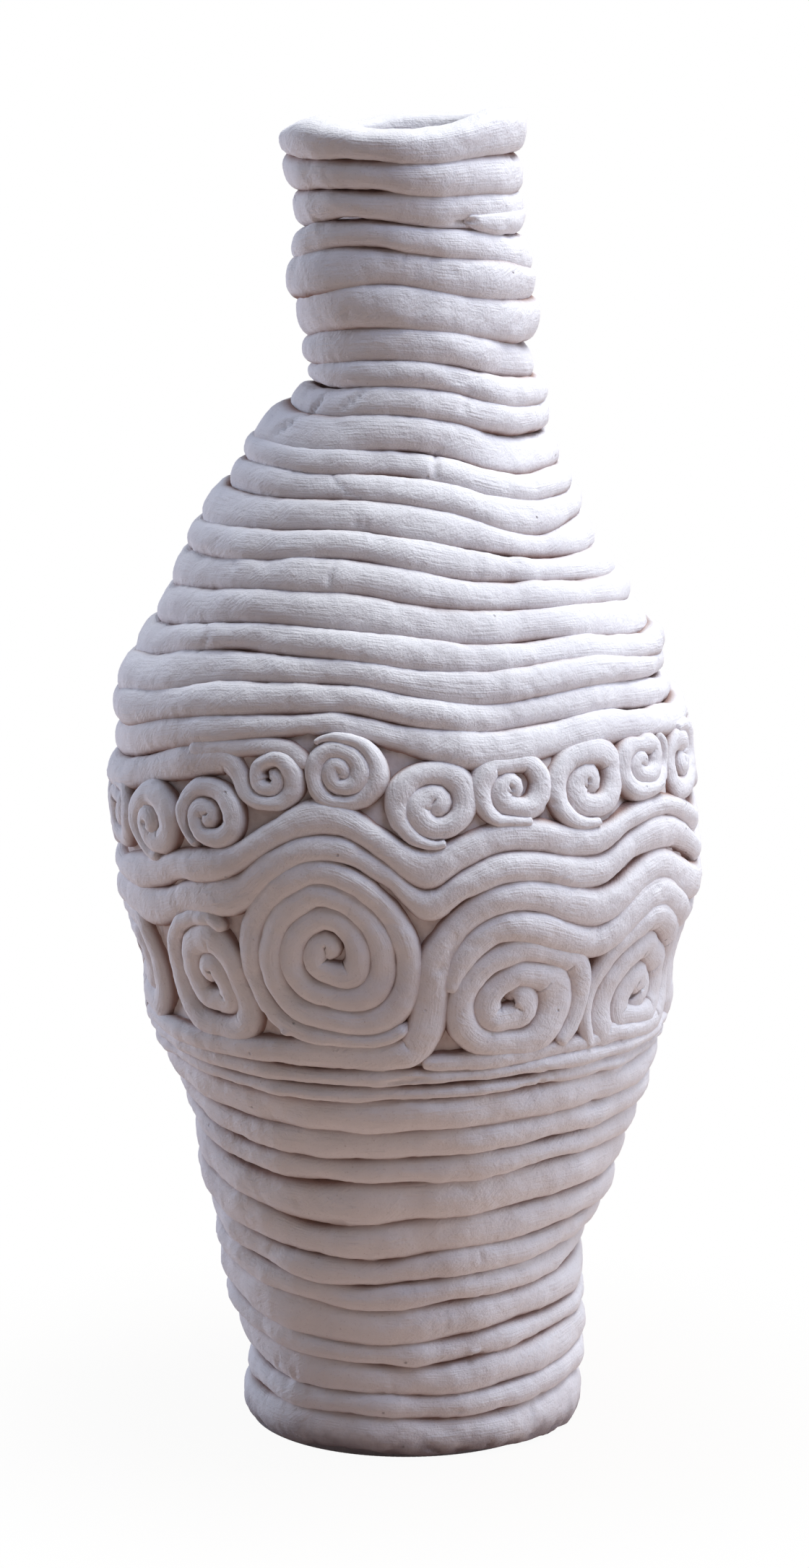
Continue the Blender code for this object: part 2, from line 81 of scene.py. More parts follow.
# Azimuths along a ring of rope, from the back round to the back
ROUND = np.arange(180.0, 540.0, 1.0)
RINGS = ("lower_wall", "wave_rope", "shoulder_course", "neck_course", "rim_course")
ROPES_IN_WALL = {"lower_wall_1": 3, "lower_wall_2": 3, "lower_wall_3": 3, "lower_wall_4": 3,
                 "lower_wall_5": 2}
FOOT_RADIUS = 63.5
SLAB_RADIUS = 59.0
SLAB_TOP = 5.5
SLAB_BEVEL = 1.6
# Height to which the lowest rope is brought down over the slab
LOWEST_ROPE = 1.5
# Height at which the lowest rope is flattened by its own weight
FLOOR_GAP = 0.7
# Half of the height over which the body's slope is read
LEAN_OVER = 5.0
WALL = 13.0
# Height of the bottom of the band at the front, and the depth of the clay behind its spirals
BAND_FRONT = 160.0
BACKING_DEPTH = 5.2

# How far the hand-laid ropes stand out past the frame at the left and at the right: height and
# millimetres, with a point only at each bulge and hollow that shows in the vase's outline
LEFT_BULGES = (
    (0, -1), (12, -2), (28, -5), (42, -1.5), (60, 0), (80, -0.5), (102, 0), (114, -2), (138, -2),
    (160, 1), (176, -2), (206, 1), (224, -0.5), (250, -1), (264, -3), (280, 1), (296, 0.5),
    (304, -1.5), (330, 0), (352, 3.5), (366, 4.5), (376, 8), (385, 6), (393, -2), (400, -3.5),
    (408, -0.5), (416, -0.5), (436, 5), (449, 2), (472, 2.5), (488, 4.5),
)
RIGHT_BULGES = (
    (0, 2.5), (42, 1.5), (60, -1), (72, -3.5), (88, 0.5), (100, 0.5), (136, -1), (152, -2.5),
    (164, -1.5), (177, -4), (192, -3.5), (208, 0), (234, -2), (250, 1), (263, 2), (272, 4.5),
    (288, -1), (304, 3.5), (314, 0), (328, 0), (338, -2), (360, 0), (380, -0.5), (400, 0.5),
    (408, -2), (418, 2), (432, 4), (440, 6), (455, 1.5), (466, 1), (478, -1.5), (488, -2),
)
# Rise of the rim's top past the frame's, and the rim's thickness, round the mouth
RIM_AZIMUTHS = (-150, -120, -90, -60, -30, 0, 30, 60, 90, 120, 150, 180)
RIM_TOP = (-5.5, -4.5, -0.5, 2.5, 0.5, -0.8, -0.2, 1.4, 1.6, -1.5, -3.7, -4.5)
RIM_THICKNESS = (16, 17, 17, 17.5, 16.5, 15, 14, 14, 14, 14, 14, 15)

# Power of a section's curve, from 2 for a round rope up to a squarer one, and how much more
# than usual a rope is lumpy, uneven and bent
ROPE_SQUARED = 2.3
LOWER_SQUARED = 2.1
RIM_SQUARED = 2.9
LOWER_ROUGH = 1.4
COURSE_ROUGH = 1.25
RIM_ROUGH = 1.5
RIM_PRESS = 0.12
# Length of the waves in which a rope swells, sinks and bends, and what the bends have in common
SWELL_WAVE = 38.0
SINK_WAVE = 34.0
BEND_WAVE = 45.0
BEND_SEED = 0.8
# Kneading: name, size of its lumps, and their height as shares of the lumps' and the dents'
KNEADING = (("lumps", 22.0, 1.5, 0), ("dents", 9.0, 0, 1.5), ("crumbs", 2.6, 0, 0.6))
# Where each run of ropes starts in the noise, so that no two ropes are alike
WAVE_SEED, ROSETTE_SEED, ARCH_SEED, CURLED_SEED, SCROLL_SEED = 30, 40, 54, 57, 60
SHOULDER_SEED, NECK_SEED, LAP_SEED, RIM_SEED = 90, 110, 117, 120

# A spiral's place: azimuth and rise above the bottom of the band, azimuth of the rope's outer end
# in the spiral's own circle, the way it winds inwards as seen from outside (-1 clockwise,
# 1 anticlockwise), its turns, and its reach in millimetres at each of REACH_ANGLES
REACH_ANGLES = (0, 45, 90, 135, 180, 225, 270, 315)
ROSETTES = (
    (-78, 26, 250, -1, 2.9, (24, 24, 28, 28, 34, 32, 30, 29)),
    (-45.2, 28, 60, 1, 2.7, (18.6, 22, 27, 24.5, 24.3, 25.5, 23, 26.5)),
    (-16.4, 43.5, 318, -1, 4.3, (34.5, 32, 33.8, 32, 35.2, 38, 34.6, 40.5)),
    (20.6, 24, 318, 1, 2.7, (34, 29, 23.2, 21.4, 23.2, 23.4, 22.4, 31)),
    (57.5, 17, 212, -1, 3.2, (36, 34, 34.5, 32, 33, 30, 19, 28)),
    (103, 22, 330, 1, 3.6, (41, 33, 26, 33, 46, 40, 24, 36)),
    (150.5, 30, 250, -1, 4.0, (42, 38, 38, 38, 41, 40, 32, 40)),
    (194, 24, 300, 1, 3.8, (42, 36, 31, 36, 42, 36, 25, 36)),
    (236, 20, 220, -1, 3.5, (44, 34, 28, 34, 40, 34, 21, 36)),
)
SCROLLS = (
    (-75, 82, 120, -1, 2.2, (16, 15, 13, 15, 16, 15, 13.5, 15)),
    (-57.2, 83.3, 285, -1, 2.1, (16.6, 15.6, 14.8, 15, 16.5, 15, 14.8, 15.5)),
    (-40, 90.6, 245, -1, 2.2, (16, 14.6, 13.2, 14.5, 15.6, 14.2, 12.7, 13.7)),
    (-10.3, 110.5, 140, -1, 2.75, (15.6, 13.9, 12.6, 15.4, 15.4, 14.2, 12.8, 14)),
    (6.8, 99, 287, -1, 2.3, (16.6, 17.2, 15.2, 15.6, 16.5, 16, 15, 14.6)),
    (23.3, 104, 293, -1, 2.2, (16, 15, 13.6, 15, 16.5, 16, 13.4, 15)),
    (40.4, 102, 280, -1, 2.2, (16.6, 17.7, 15.8, 17.6, 18.6, 17.6, 15, 16)),
    (56.1, 105, 40, -1, 2.4, (16.2, 16.5, 11.5, 13.8, 15.6, 13.6, 11.3, 13.1)),
    (74, 101, 110, -1, 2.2, (17, 16.8, 14, 16.5, 16.6, 15.6, 14, 15.2)),
)
# The row round the back: how many scrolls, from where to where, their reach, turns and way round
BACK_SCROLLS = 10
BACK_SCROLLS_FROM = 83.5
BACK_SCROLLS_TO = 276.0
BACK_SCROLL_REACH = (17.8, 16, 14.5, 16, 17.8, 16, 14.5, 16)
BACK_SCROLL_TURNS = 2.3
BACK_SCROLL_FIRST = 60
BACK_SCROLL_TURNED = 50
# How far a spiral is pressed into the ropes beside it, and spread by the hand that pressed it
PRESSED_IN = 2.2
SPREAD_OUT = 1.045
# Share of its thickness that a spiral's outer end has, the turns over which it and the place
# under it change, and the turn from which the next turn's edge closes in under it
END_THICKNESS = 0.4
END_TAPER = 0.4
CLOSING_IN = 0.7
# Turns that the nub in the middle takes off a spiral, its share of a rope's thickness, and points
# along each turn
NUB_TURN = 0.7
NUB_ROOM = 0.4
TURN_STEPS = 100

# How much higher the upper wave rope swells under the scrolls, by azimuth
SWELL_AZIMUTHS = (-90, -55, -42, -30, -18, -8, 0, 10, 20, 30, 40, 60, 120, 180)
SWELL = (0, 0.5, 1.8, 3.6, 4, 3, 1, 1.2, 2.2, 1.8, 0.6, 0, 1, 1)

# The course that curls: where it starts at the back, leaves its seam, and the scroll it ends in
CURLED_ROPE = 11.0
CURLED_START = -165
CURLED_LEAVES = -38.5
CURLED_SCROLL = (-26.3, 106.2, 175, 1, 2.3, (14.3, 13, 10.4, 12.2, 14.2, 11.6, 10, 11.8))
# Azimuths between points of its straight run
CURLED_STEP = 3.0
# Points along ropes: azimuth, rise above the bottom of the band at the front, and width
CURLED_BEND = ((-35.2, 111.0, 10.2), (-33.4, 108.2, 8.2))
TONGUE = (
    (-46, 112.3, 7), (-41, 113.8, 9), (-36.5, 115.4, 9.4), (-32, 117.2, 8.4), (-28, 118.4, 7.6),
    (-24, 118.6, 7.2), (-20.6, 117.2, 6.8), (-18.8, 113.6, 6.2), (-18.4, 110.4, 5),
)
# How deep a rope end lies in the wall: the tongue, the lap, and the footing under the band
TONGUE_SUNK = 1.2
LAP_SUNK = -1.6
FOOTING_SUNK = 0.8
# The same with heights, along the rope end that laps over a seam of the neck
NECK_LAP = (
    (31, 460.4, 3), (38, 459.4, 5.4), (50, 458.2, 7.4), (65, 457.6, 8), (85, 457.4, 8),
    (105, 458, 5),
)
# The same along the arch ropes, and along the outer one's tail with the rise above its floor
ARCH_TAIL = (
    (-86, 1, 4), (-74, 2, 6), (-62, 2.6, 7), (-52, 3, 7.6), (-45, 3.8, 8.4), (-38, 4.6, 9.4),
    (-31, 5.2, 10.4), (-22, 5.4, 10.8), (-12, 5.2, 10.8), (-4, 5.6, 10.6), (0.6, 7.4, 10.4),
)
FOOTING = (
    (2, 2.4, 5), (8, 2.2, 6.4), (16, 2, 7), (26, 2, 7), (36, 2.4, 6.4), (46, 3, 6), (58, 3, 6),
    (70, 3, 4),
)
ARCH_OUTER = (
    (2.7, 12.5, 11.4), (3.7, 19, 12), (4.1, 27, 12), (4.4, 35, 12.4), (5.2, 43, 12.6),
    (7.3, 50, 12.4), (10, 56, 12), (14, 61, 11.6), (20, 64.4, 11.2), (27, 63.2, 11.6),
    (33, 58.6, 12), (40, 55.6, 12.6), (45, 57.4, 12.4), (52, 63.2, 12.6), (58, 65.4, 12.8),
    (64, 63, 12.6), (70, 57.5, 12.4), (76, 53, 12), (84, 51, 12), (91, 53.5, 12), (98, 60, 11.6),
    (106, 64.5, 11.4), (114, 61.5, 11.6), (121, 55, 12), (125.5, 47, 11.4), (127.5, 38, 10.4),
    (127.7, 28, 10), (127.7, 17, 10), (127.7, 6, 9),
)
ARCH_INNER = (
    (7.6, 28, 5), (8.8, 36, 7.4), (10.4, 42, 9.4), (13, 48, 10.8), (16.5, 52.4, 11.2),
    (20, 53.4, 11.6), (25, 51.6, 12), (30, 47.4, 12), (35, 43.4, 12), (40, 42, 12),
    (44, 44.4, 12), (50, 51.4, 12), (55, 55, 11.6), (60, 54.4, 11.6), (65, 50, 11.6),
    (71, 43.6, 11.6), (77, 39.4, 11.6), (84, 38.4, 11.6), (91, 41, 11.6), (98, 48.8, 11.2),
    (106, 53.4, 11.2), (113, 50.4, 11.2), (118, 45, 10),
)

# Nicks, cracks and creases: azimuth, height, half length, half width, tilt in degrees and depth,
# which is negative where a crumb of clay stands out
NICKS = [
    (10, 376.5, 2.6, 1.2, 70, 1.8), (9.6, 371.5, 3.6, 1, 105, 1.8), (22, 442, 2.6, 1.4, -30, 1.1),
    (-2, 446, 2.4, 1.1, 60, 1), (-35.5, 425.5, 1.6, 1.3, 0, 0.8), (56, 420.5, 3, 1.8, 20, 1.2),
    (30, 459, 5, 1.6, 5, 2.6), (8, 207, 6, 1.3, 75, 1), (5.5, 199, 3, 1.6, 60, 1),
    (-18, 336.5, 4.5, 1, 80, 1.5), (22, 402.5, 6, 0.9, -8, 0.9), (26, 400.5, 5, 0.8, -12, 0.8),
    (24, 398.8, 4, 0.8, -5, 0.7), (-27, 368, 5, 0.8, -30, 0.8), (-24, 366, 6, 0.8, -25, 0.8),
    (-18, 363.5, 5, 0.9, -10, 0.9), (-14, 355, 3, 1.4, 80, 0.9), (-11, 353, 3, 1.2, 70, 0.9),
    (72.5, 480.5, 4, 1.8, 0, 2.8), (-31, 395, 6, 1.4, 35, 1.5), (-52, 391, 5, 1.6, 60, 1.8),
    (-60, 384, 6, 1.3, 40, 1.6), (21, 393, 2, 2, 0, 0.9), (-17.8, 281, 2.4, 1.4, 80, 2),
    (22.5, 80.5, 2.2, 1, 85, 1.3), (-31, 102, 1.8, 1, 70, 1), (23, 41.5, 2.4, 2.2, 0, -1.4),
    (24.5, 40.5, 3.6, 1, 10, 1.4), (-49, 32, 3, 1.1, 55, 1.3), (-20, 95.5, 6.5, 1, -8, 1.7),
    (-11, 94, 8, 0.9, -3, 1.2), (-1.5, 155, 9, 1.2, 5, 1.8), (30, 150.5, 2, 1, 80, 1.4),
    (51.5, 18, 3.5, 1.8, 30, 1.6), (47, 15, 3, 1.5, 50, 1.3), (-4, 27.5, 4, 0.9, 90, 1),
    (12, 12, 5, 1.1, 10, 1.1), (60, 4, 4, 1.6, 40, 2.2), (-27, 171, 2.4, 2.2, 0, -1.8),
    (-32, 176, 2.6, 1.2, 60, 1.4),
]
# How many more are scattered over the body and round the foot, between which heights, how deep
MORE_NICKS = ((150, 5, 490, 1.1), (40, 0, 5, 2.2))
# Farthest that a nick reaches above or below its middle
NICK_REACH = 12.0
# How a spiral's reach is cut back under its neighbours: by how much at a time, how often, and
# down to what
CUT_BACK = 0.2
CUTS = 80
LEAST_REACH = 2.0


def more_nicks():
    """Scattered nicks, most of them along the ropes."""
    draw = np.random.default_rng(11)
    found = []
    for count, low, high, deepest in MORE_NICKS:
        for _ in range(count):
            length = draw.uniform(1.0, 6.5)
            found.append((draw.uniform(-180, 180), draw.uniform(low, high), length,
                          draw.uniform(0.9, 1.5), draw.normal(0, 22),
                          draw.uniform(0.4, deepest)))
    return found


NICKS += more_nicks()


def srgb(colour):
    """A hex colour as linear red, green and blue."""
    parts = [int(colour[k:k + 2], 16) / 255 for k in (1, 3, 5)]
    return [p / 12.92 if p <= 0.04045 else ((p + 0.055) / 1.055) ** 2.4 for p in parts]


class VaseRopes(PropertyGroup):
    """How the ropes are rolled."""
    step: FloatProperty(
        name="Step", description="Length between a rope's sections", default=1.05 * MM,
        unit="LENGTH")
    bevel: IntProperty(name="Roundness", description="Bevel resolution of a rope", default=12)
    press: FloatProperty(
        name="Press", description="Share by which a rope spreads into its neighbours",
        default=0.24)
    band_press: FloatProperty(
        name="Band press", description="The same for the ropes of the band", default=0.17)
    smear: FloatProperty(
        name="Smear", description="The same for the smeared lower ropes", default=0.19)
    half_depth: FloatProperty(
        name="Half depth", description="Half of a rope's depth into the wall",
        default=6.4 * MM, unit="LENGTH")
    uneven: FloatProperty(
        name="Unevenness", description="Swell and shrink of a hand-rolled rope", default=0.16)
    lump: FloatProperty(
        name="Lumps", description="Height of the soft lumps left by the fingers",
        default=1.1 * MM, unit="LENGTH")
    dent: FloatProperty(
        name="Dents", description="Height of the small dents", default=0.6 * MM, unit="LENGTH")


class VaseClay(PropertyGroup):
    """Colours and grain of the dry clay, with shade painted in its seams and pits, behind the
    spirals and round the foot.
    """
    crown: FloatVectorProperty(
        name="Crown", description="Clay on the crown of a rope", subtype="COLOR",
        default=srgb("#ECE5E6"))
    # Painted shade: this warm brown darkens the seams by their depth below the crown; it also
    # tints the grain and mottles the backing
    seam: FloatVectorProperty(
        name="Seam", description="Warmer clay down in the seams", subtype="COLOR",
        default=srgb("#9E8077"))
    # Darker clay for the random patches and brush strokes, and painted shade in the pits
    stain_and_pit_shade: FloatVectorProperty(
        name="Stain", description="Darker patches of handled clay", subtype="COLOR",
        default=srgb("#C9BFC2"))
    # Painted shade: the clay is darkened towards the bottom of the foot, where it meets the floor
    foot: FloatVectorProperty(
        name="Foot", description="Dirty clay round the foot", subtype="COLOR",
        default=srgb("#85767A"))
    # Painted shade: the backing is a little darker and pinker than the crown, for the shade in the
    # recess behind the spirals
    backing: FloatVectorProperty(
        name="Backing", description="Clay behind the spirals", subtype="COLOR",
        default=srgb("#E0D3D0"))
    roughness: FloatProperty(name="Roughness", description="Roughness of dry clay", default=0.86)
    stroke: FloatProperty(
        name="Stroke", description="Distance between brush strokes", default=0.8 * MM,
        unit="LENGTH")
    pits: FloatProperty(
        name="Pits", description="Distance between possible pits", default=8 * MM,
        unit="LENGTH")
    grain: FloatProperty(
        name="Grain", description="Size of the clay's grain, coarser than grog so that it shows",
        default=0.8 * MM, unit="LENGTH")


class VaseStage(PropertyGroup):
    """Camera, floor and light."""
    distance: FloatProperty(
        name="Distance", description="Camera distance in front of the axis", default=2.053,
        unit="LENGTH")
    height: FloatProperty(
        name="Height", description="Height of the camera", default=0.671, unit="LENGTH")
    tilt: FloatProperty(
        name="Tilt", description="How far the camera looks down", default=math.radians(11.73),
        unit="ROTATION")
    focal: FloatProperty(
        name="Focal length", description="Focal length on a 36 mm high frame", default=128.5,
        unit="CAMERA")
    floor: FloatVectorProperty(
        name="Floor", description="Paper, pale and warm as the light that it throws on the vase",
        subtype="COLOR", default=srgb("#C4A999"))
    shadow: FloatProperty(
        name="Shadow", description="Distance from the axis where the shadow starts to fade",
        default=0.07, unit="LENGTH")
    lamps: FloatProperty(
        name="Lamps", description="Power of the soft lamps, shared between them", default=20.0,
        unit="POWER")
    sky: FloatProperty(
        name="Fill", description="Strength of the light from all round", default=0.1)


# Height of the photo, and how far its middle lies left of the axis, in pixels
PHOTO_HEIGHT = 2172
AXIS_OFFSET = 2
# What is left of the vase's shadow beside it, and how many times farther away it is gone
SHADOW_LEFT = 0.05
SHADOW_GONE = 3.5
# Soft lamps: name, azimuth, elevation, size in metres, share of the power and colour
LAMP_DISTANCE = 1.9
LAMPS_AIM_AT = 0.25
LAMPS = (
    ("left_lamp", -120, 8, 0.9, 1.06, "#D2E3FF"),
    ("high_front_lamp", 45, 60, 0.9, 0.8, "#CDDDFF"),
    ("right_lamp", 90, 8, 0.9, 0.76, "#DBECFF"),
    ("high_right_lamp", 90, 70, 0.9, 1.48, "#F9FFF9"),
)
SKY_COLOUR = "#EFF6FF"
# Dry clay without a glaze shines less than the default, 0.5
CLAY_SPECULAR = 0.25
SMOOTH = {"interpolation_type": "SMOOTHSTEP"}


# The body, measured on the frame


def corners(mesh):
    """A mesh's corners in millimetres."""
    points = np.empty(len(mesh.vertices) * 3, np.float32)
    mesh.vertices.foreach_get("co", points)
    return points.reshape(-1, 3).astype(float) / MM


def measure_body():
    """Heights, radii and sideways shifts of the body, read where each ring is widest."""
    rows = []
    for node in frame["nodes"]:
        if not node.startswith(RINGS):
            continue
        points = corners(frame["nodes"][node].data)
        left = points[points[:, 0].argmin()]
        right = points[points[:, 0].argmax()]
        half_step = math.radians(STATION / 2)
        rows.append(((left[2] + right[2]) / 2, (right[0] - left[0]) / 2 / math.cos(half_step),
                     (right[0] + left[0]) / 2))
    rows.sort()
    first = rows[0]
    rows.insert(0, (0.0, FOOT_RADIUS, first[2]))
    last = rows[-1]
    rows.append((last[0] + 30.0, last[1], last[2]))
    return np.array(rows).T


HEIGHTS, RADII, SHIFTS = measure_body()


def glide(knots, values, at):
    """Smooth curve through the knots, with slopes taken from each knot's neighbours."""
    knots = np.asarray(knots, float)
    values = np.asarray(values, float)
    at = np.clip(at, knots[0], knots[-1])
    slopes = np.gradient(values, knots)
    i = np.clip(np.searchsorted(knots, at, side="right") - 1, 0, len(knots) - 2)
    span = knots[i + 1] - knots[i]
    t = (at - knots[i]) / span
    return ((1 + 2 * t) * (1 - t) ** 2 * values[i] + t * (1 - t) ** 2 * span * slopes[i]
            + t * t * (3 - 2 * t) * values[i + 1] - t * t * (1 - t) * span * slopes[i + 1])


def glide_round(azimuths, values, at):
    """The same round a full turn."""
    turns = np.concatenate([np.asarray(azimuths, float) + turn for turn in (-360, 0, 360)])
    return glide(turns, np.tile(values, 3), np.asarray(at, float) % 360)


def outline(height):
    """Outer radius of the body at a height."""
    return glide(HEIGHTS, RADII, height)


def bulge(azimuth, height):
    """How far the ropes stand out past the frame there."""
    side = np.sin(np.radians(azimuth))
    left, right = (glide(*zip(*bulges), height) for bulges in (LEFT_BULGES, RIGHT_BULGES))
    return np.abs(side) ** 1.5 * np.where(side < 0, left, right)


def place(azimuth, height, radius):
    """Points of the body in millimetres, bulging at both sides where its ropes do."""
    turn = np.radians(azimuth)
    radius = radius + bulge(azimuth, height)
    x = glide(HEIGHTS, SHIFTS, height) + radius * np.sin(turn)
    return np.column_stack([x, -radius * np.cos(turn), height])


def per_degree(height):
    """Length of one degree round the body."""
    return math.radians(1) * outline(height)


def outward(azimuth, height):
    """Directions straight out of the body's surface."""
    above, below = np.asarray(height) + LEAN_OVER, np.asarray(height) - LEAN_OVER
    slope = (outline(above) + bulge(azimuth, above) - outline(below) - bulge(azimuth, below))
    turn = np.radians(azimuth)
    out = np.column_stack([np.sin(turn), -np.cos(turn), -slope / (2 * LEAN_OVER)])
    return out / np.linalg.norm(out, axis=1)[:, None]


def unrolled(points):
    """Azimuths, heights and radii on the body of points in millimetres."""
    x = points[..., 0] - glide(HEIGHTS, SHIFTS, points[..., 2])
    return (np.degrees(np.arctan2(x, -points[..., 1])), points[..., 2],
            np.hypot(x, points[..., 1]))


def seams(node):
    """Azimuths of a ring's sections, and heights of its seams there from the lowest up. The
    upper wave rope swells more than in the frame."""
    ropes = ROPES_IN_WALL.get(node, 1)
    azimuths, heights, radii = unrolled(corners(frame["nodes"][node].data))
    azimuths = azimuths % 360
    outer = radii > outline(heights) - WALL / 2
    stations = np.round((azimuths - STATION / 2) / STATION).astype(int)
    found = []
    for station in sorted(set(stations[outer])):
        column = np.unique(np.round(heights[outer & (stations == station)], 1))
        apart = column[np.insert(np.diff(column) > 0.25, 0, True)]
        lower = apart[:1] if ropes == 1 else apart[::3][:ropes]
        found.append(((station + 0.5) * STATION, *lower, apart[-1]))
    azimuths, *edges = np.array(found).T
    if node == "wave_rope_upper":
        edges[-1] += glide_round(SWELL_AZIMUTHS, SWELL, azimuths)
    return azimuths, edges


def level(node, edge):
    """Height of a ring's lowest seam (0) or its top (-1), as a function of azimuth."""
    azimuths, edges = seams(node)
    return lambda azimuth: np.interp(azimuth, azimuths, edges[edge], period=360)


# Ropes


@dataclass
class Lay:
    """A rope's lie: points along it on the unrolled body, and its half sizes and sink there."""
    azimuth: np.ndarray
    height: np.ndarray
    half_width: np.ndarray
    half_depth: np.ndarray
    sunk: np.ndarray
    closed: bool = False
    squared: float = ROPE_SQUARED

    def spine(self):
        """The rope's middle line and outward directions, in millimetres."""
        out = outward(self.azimuth, self.height)
        crown = place(self.azimuth, self.height, outline(self.height))
        return crown - out * (self.half_depth + self.sunk)[:, None], out

    def evened(self, step):
        """The same rope with its sections spaced evenly."""
        middle, out = self.spine()
        if self.closed:
            middle = np.vstack([middle, middle[:1]])
        run = np.insert(np.cumsum(np.linalg.norm(np.diff(middle, axis=0), axis=1)), 0, 0.0)
        count = max(8, int(run[-1] / step))
        at = np.linspace(0.0, run[-1], count, endpoint=not self.closed)
        if not self.closed:
            near = np.array([0.12, 0.35, 0.7, 1.2]) * step
            at = np.unique(np.concatenate([at, near, run[-1] - near]))
        columns = []
        for k, column in enumerate((self.azimuth, self.height, self.half_width, self.half_depth,
                                    self.sunk)):
            if self.closed:
                column = np.append(column, column[0] + (360 if k == 0 else 0))
            columns.append(np.interp(at, run, column))
        return Lay(*columns, self.closed, self.squared), at


def nicked(points, outer):
    """How deep the nicks are at points in millimetres, on the outer side of a rope."""
    azimuth, heights, _ = unrolled(points)
    low, high = heights.min() - NICK_REACH, heights.max() + NICK_REACH
    deep = np.zeros(points.shape[:2])
    for middle, height, length, width, tilt, depth in NICKS:
        if not low < height < high:
            continue
        x = ((azimuth - middle + 180) % 360 - 180) * per_degree(height)
        z = heights - height
        turn = math.radians(tilt)
        u = (x * math.cos(turn) + z * math.sin(turn)) / length
        v = (z * math.cos(turn) - x * math.sin(turn)) / width
        pushed = depth * np.exp(-2 * (u ** 4 + v ** 2))
        deep = np.where(np.abs(pushed) > np.abs(deep), pushed, deep)
    return deep * np.clip(outer + 0.3, 0, 1)


def clear_selection():
    if bpy.context.object and bpy.context.object.mode != "OBJECT":
        bpy.ops.object.mode_set(mode="OBJECT")
    bpy.ops.object.select_all(action="DESELECT")


def wobble(points, size, seed):
    """Smooth noise at points in millimetres, with waves of about that size."""
    away = Vector((seed * 7.3, seed * 3.1, seed * 5.7))
    return np.array([noise.noise(Vector(p) / size + away) for p in points])


def tube(name, middle, closed, bevel):
    """A round tube along a line, as a mesh with a ring of corners at each point."""
    clear_selection()
    bpy.ops.curve.primitive_nurbs_path_add()
    rope = bpy.context.object
    rope.name = name
    rope.data.name = name
    curve = rope.data
    curve.splines.clear()
    line = curve.splines.new("POLY")
    line.points.add(len(middle) - 1)
    line.points.foreach_set("co", np.column_stack([middle * MM, np.ones(len(middle))]).ravel())
    line.use_cyclic_u = closed
    curve.twist_mode = "Z_UP"
    curve.bevel_depth = MM
    curve.bevel_resolution = bevel
    bpy.ops.object.convert(target="MESH")
    return rope


def boxy(part, power):
    """Squares a circle's share a little, as a rope pressed between its neighbours is."""
    return np.sign(part) * np.abs(part) ** (2 / power)


def press(rope, lay, middle, out, run, seed):
    """Presses a tube to its rope's section, and notes the way along and round it and the depth."""
    mesh = rope.data
    rings = len(middle)
    sides = len(mesh.vertices) // rings
    if lay.closed:
        along = np.roll(middle, -1, axis=0) - np.roll(middle, 1, axis=0)
    else:
        along = np.gradient(middle, axis=0)
    along /= np.linalg.norm(along, axis=1)[:, None]
    across = np.cross(out, along)
    across /= np.linalg.norm(across, axis=1)[:, None]
    up = np.cross(along, across)
    turn = np.arange(sides) * 2 * math.pi / sides
    outer = boxy(np.cos(turn), lay.squared)
    side = boxy(np.sin(turn), lay.squared)
    bend = np.gradient(along, axis=0) / np.gradient(run)[:, None]
    tight = np.einsum("ij,ij->i", bend, across)
    if lay.closed:
        tight = np.zeros(rings)
    spreads = [np.minimum(lay.half_width, 0.9 / np.maximum(way * tight, 1e-3)) for way in (1, -1)]
    width = np.where(side >= 0, spreads[0][:, None], spreads[1][:, None])
    points = (middle[:, None] + up[:, None] * (lay.half_depth[:, None] * outer)[:, :, None]
              + across[:, None] * (width * side)[:, :, None])
    points -= up[:, None] * nicked(points, outer)[:, :, None]
    points[..., 2] = np.maximum(points[..., 2], FLOOR_GAP)
    mesh.vertices.foreach_set("co", (points * MM).astype(np.float32).ravel())
    # Depth below the crown, which the clay's material turns into painted shade in the seams
    depth = lay.half_depth[:, None] * (1 - np.abs(outer))[None] + lay.sunk[:, None]
    noted = mesh.attributes.new("depth", "FLOAT", "POINT")
    noted.data.foreach_set("value", depth.astype(np.float32).ravel())

    girth = math.pi * (lay.half_width.mean() + lay.half_depth.mean())
    corner = np.empty(len(mesh.loops), np.int32)
    mesh.loops.foreach_get("vertex_index", corner)
    faces = corner.reshape(-1, 4)
    ring, spot = faces // sides, faces % sides
    ring = np.where((ring == 0) & (ring.max(axis=1) > 1)[:, None], rings, ring)
    spot = np.where((spot == 0) & (spot.max(axis=1) > 1)[:, None], sides, spot)
    length = run[-1] + (run[-1] - run[-2] if lay.closed else 0.0)
    way = np.append(run, length)[ring] + seed * 137.0
    layer = mesh.uv_layers[0]
    layer.uv.foreach_set("vector", np.stack([way, spot * girth / sides], axis=2)
                         .astype(np.float32).ravel() * MM)


def knead(rope, lump, dent):
    """Leaves soft lumps and small dents in a rope."""
    for name, size, of_lump, of_dent in KNEADING:
        texture = bpy.data.textures.get(name) or bpy.data.textures.new(name, "CLOUDS")
        texture.noise_scale = size * MM
        texture.noise_depth = 1
        modifier = rope.modifiers.new(name, "DISPLACE")
        modifier.texture = texture
        modifier.texture_coords = "LOCAL"
        modifier.strength = of_lump * lump + of_dent * dent
        bpy.ops.object.modifier_apply(modifier=name)


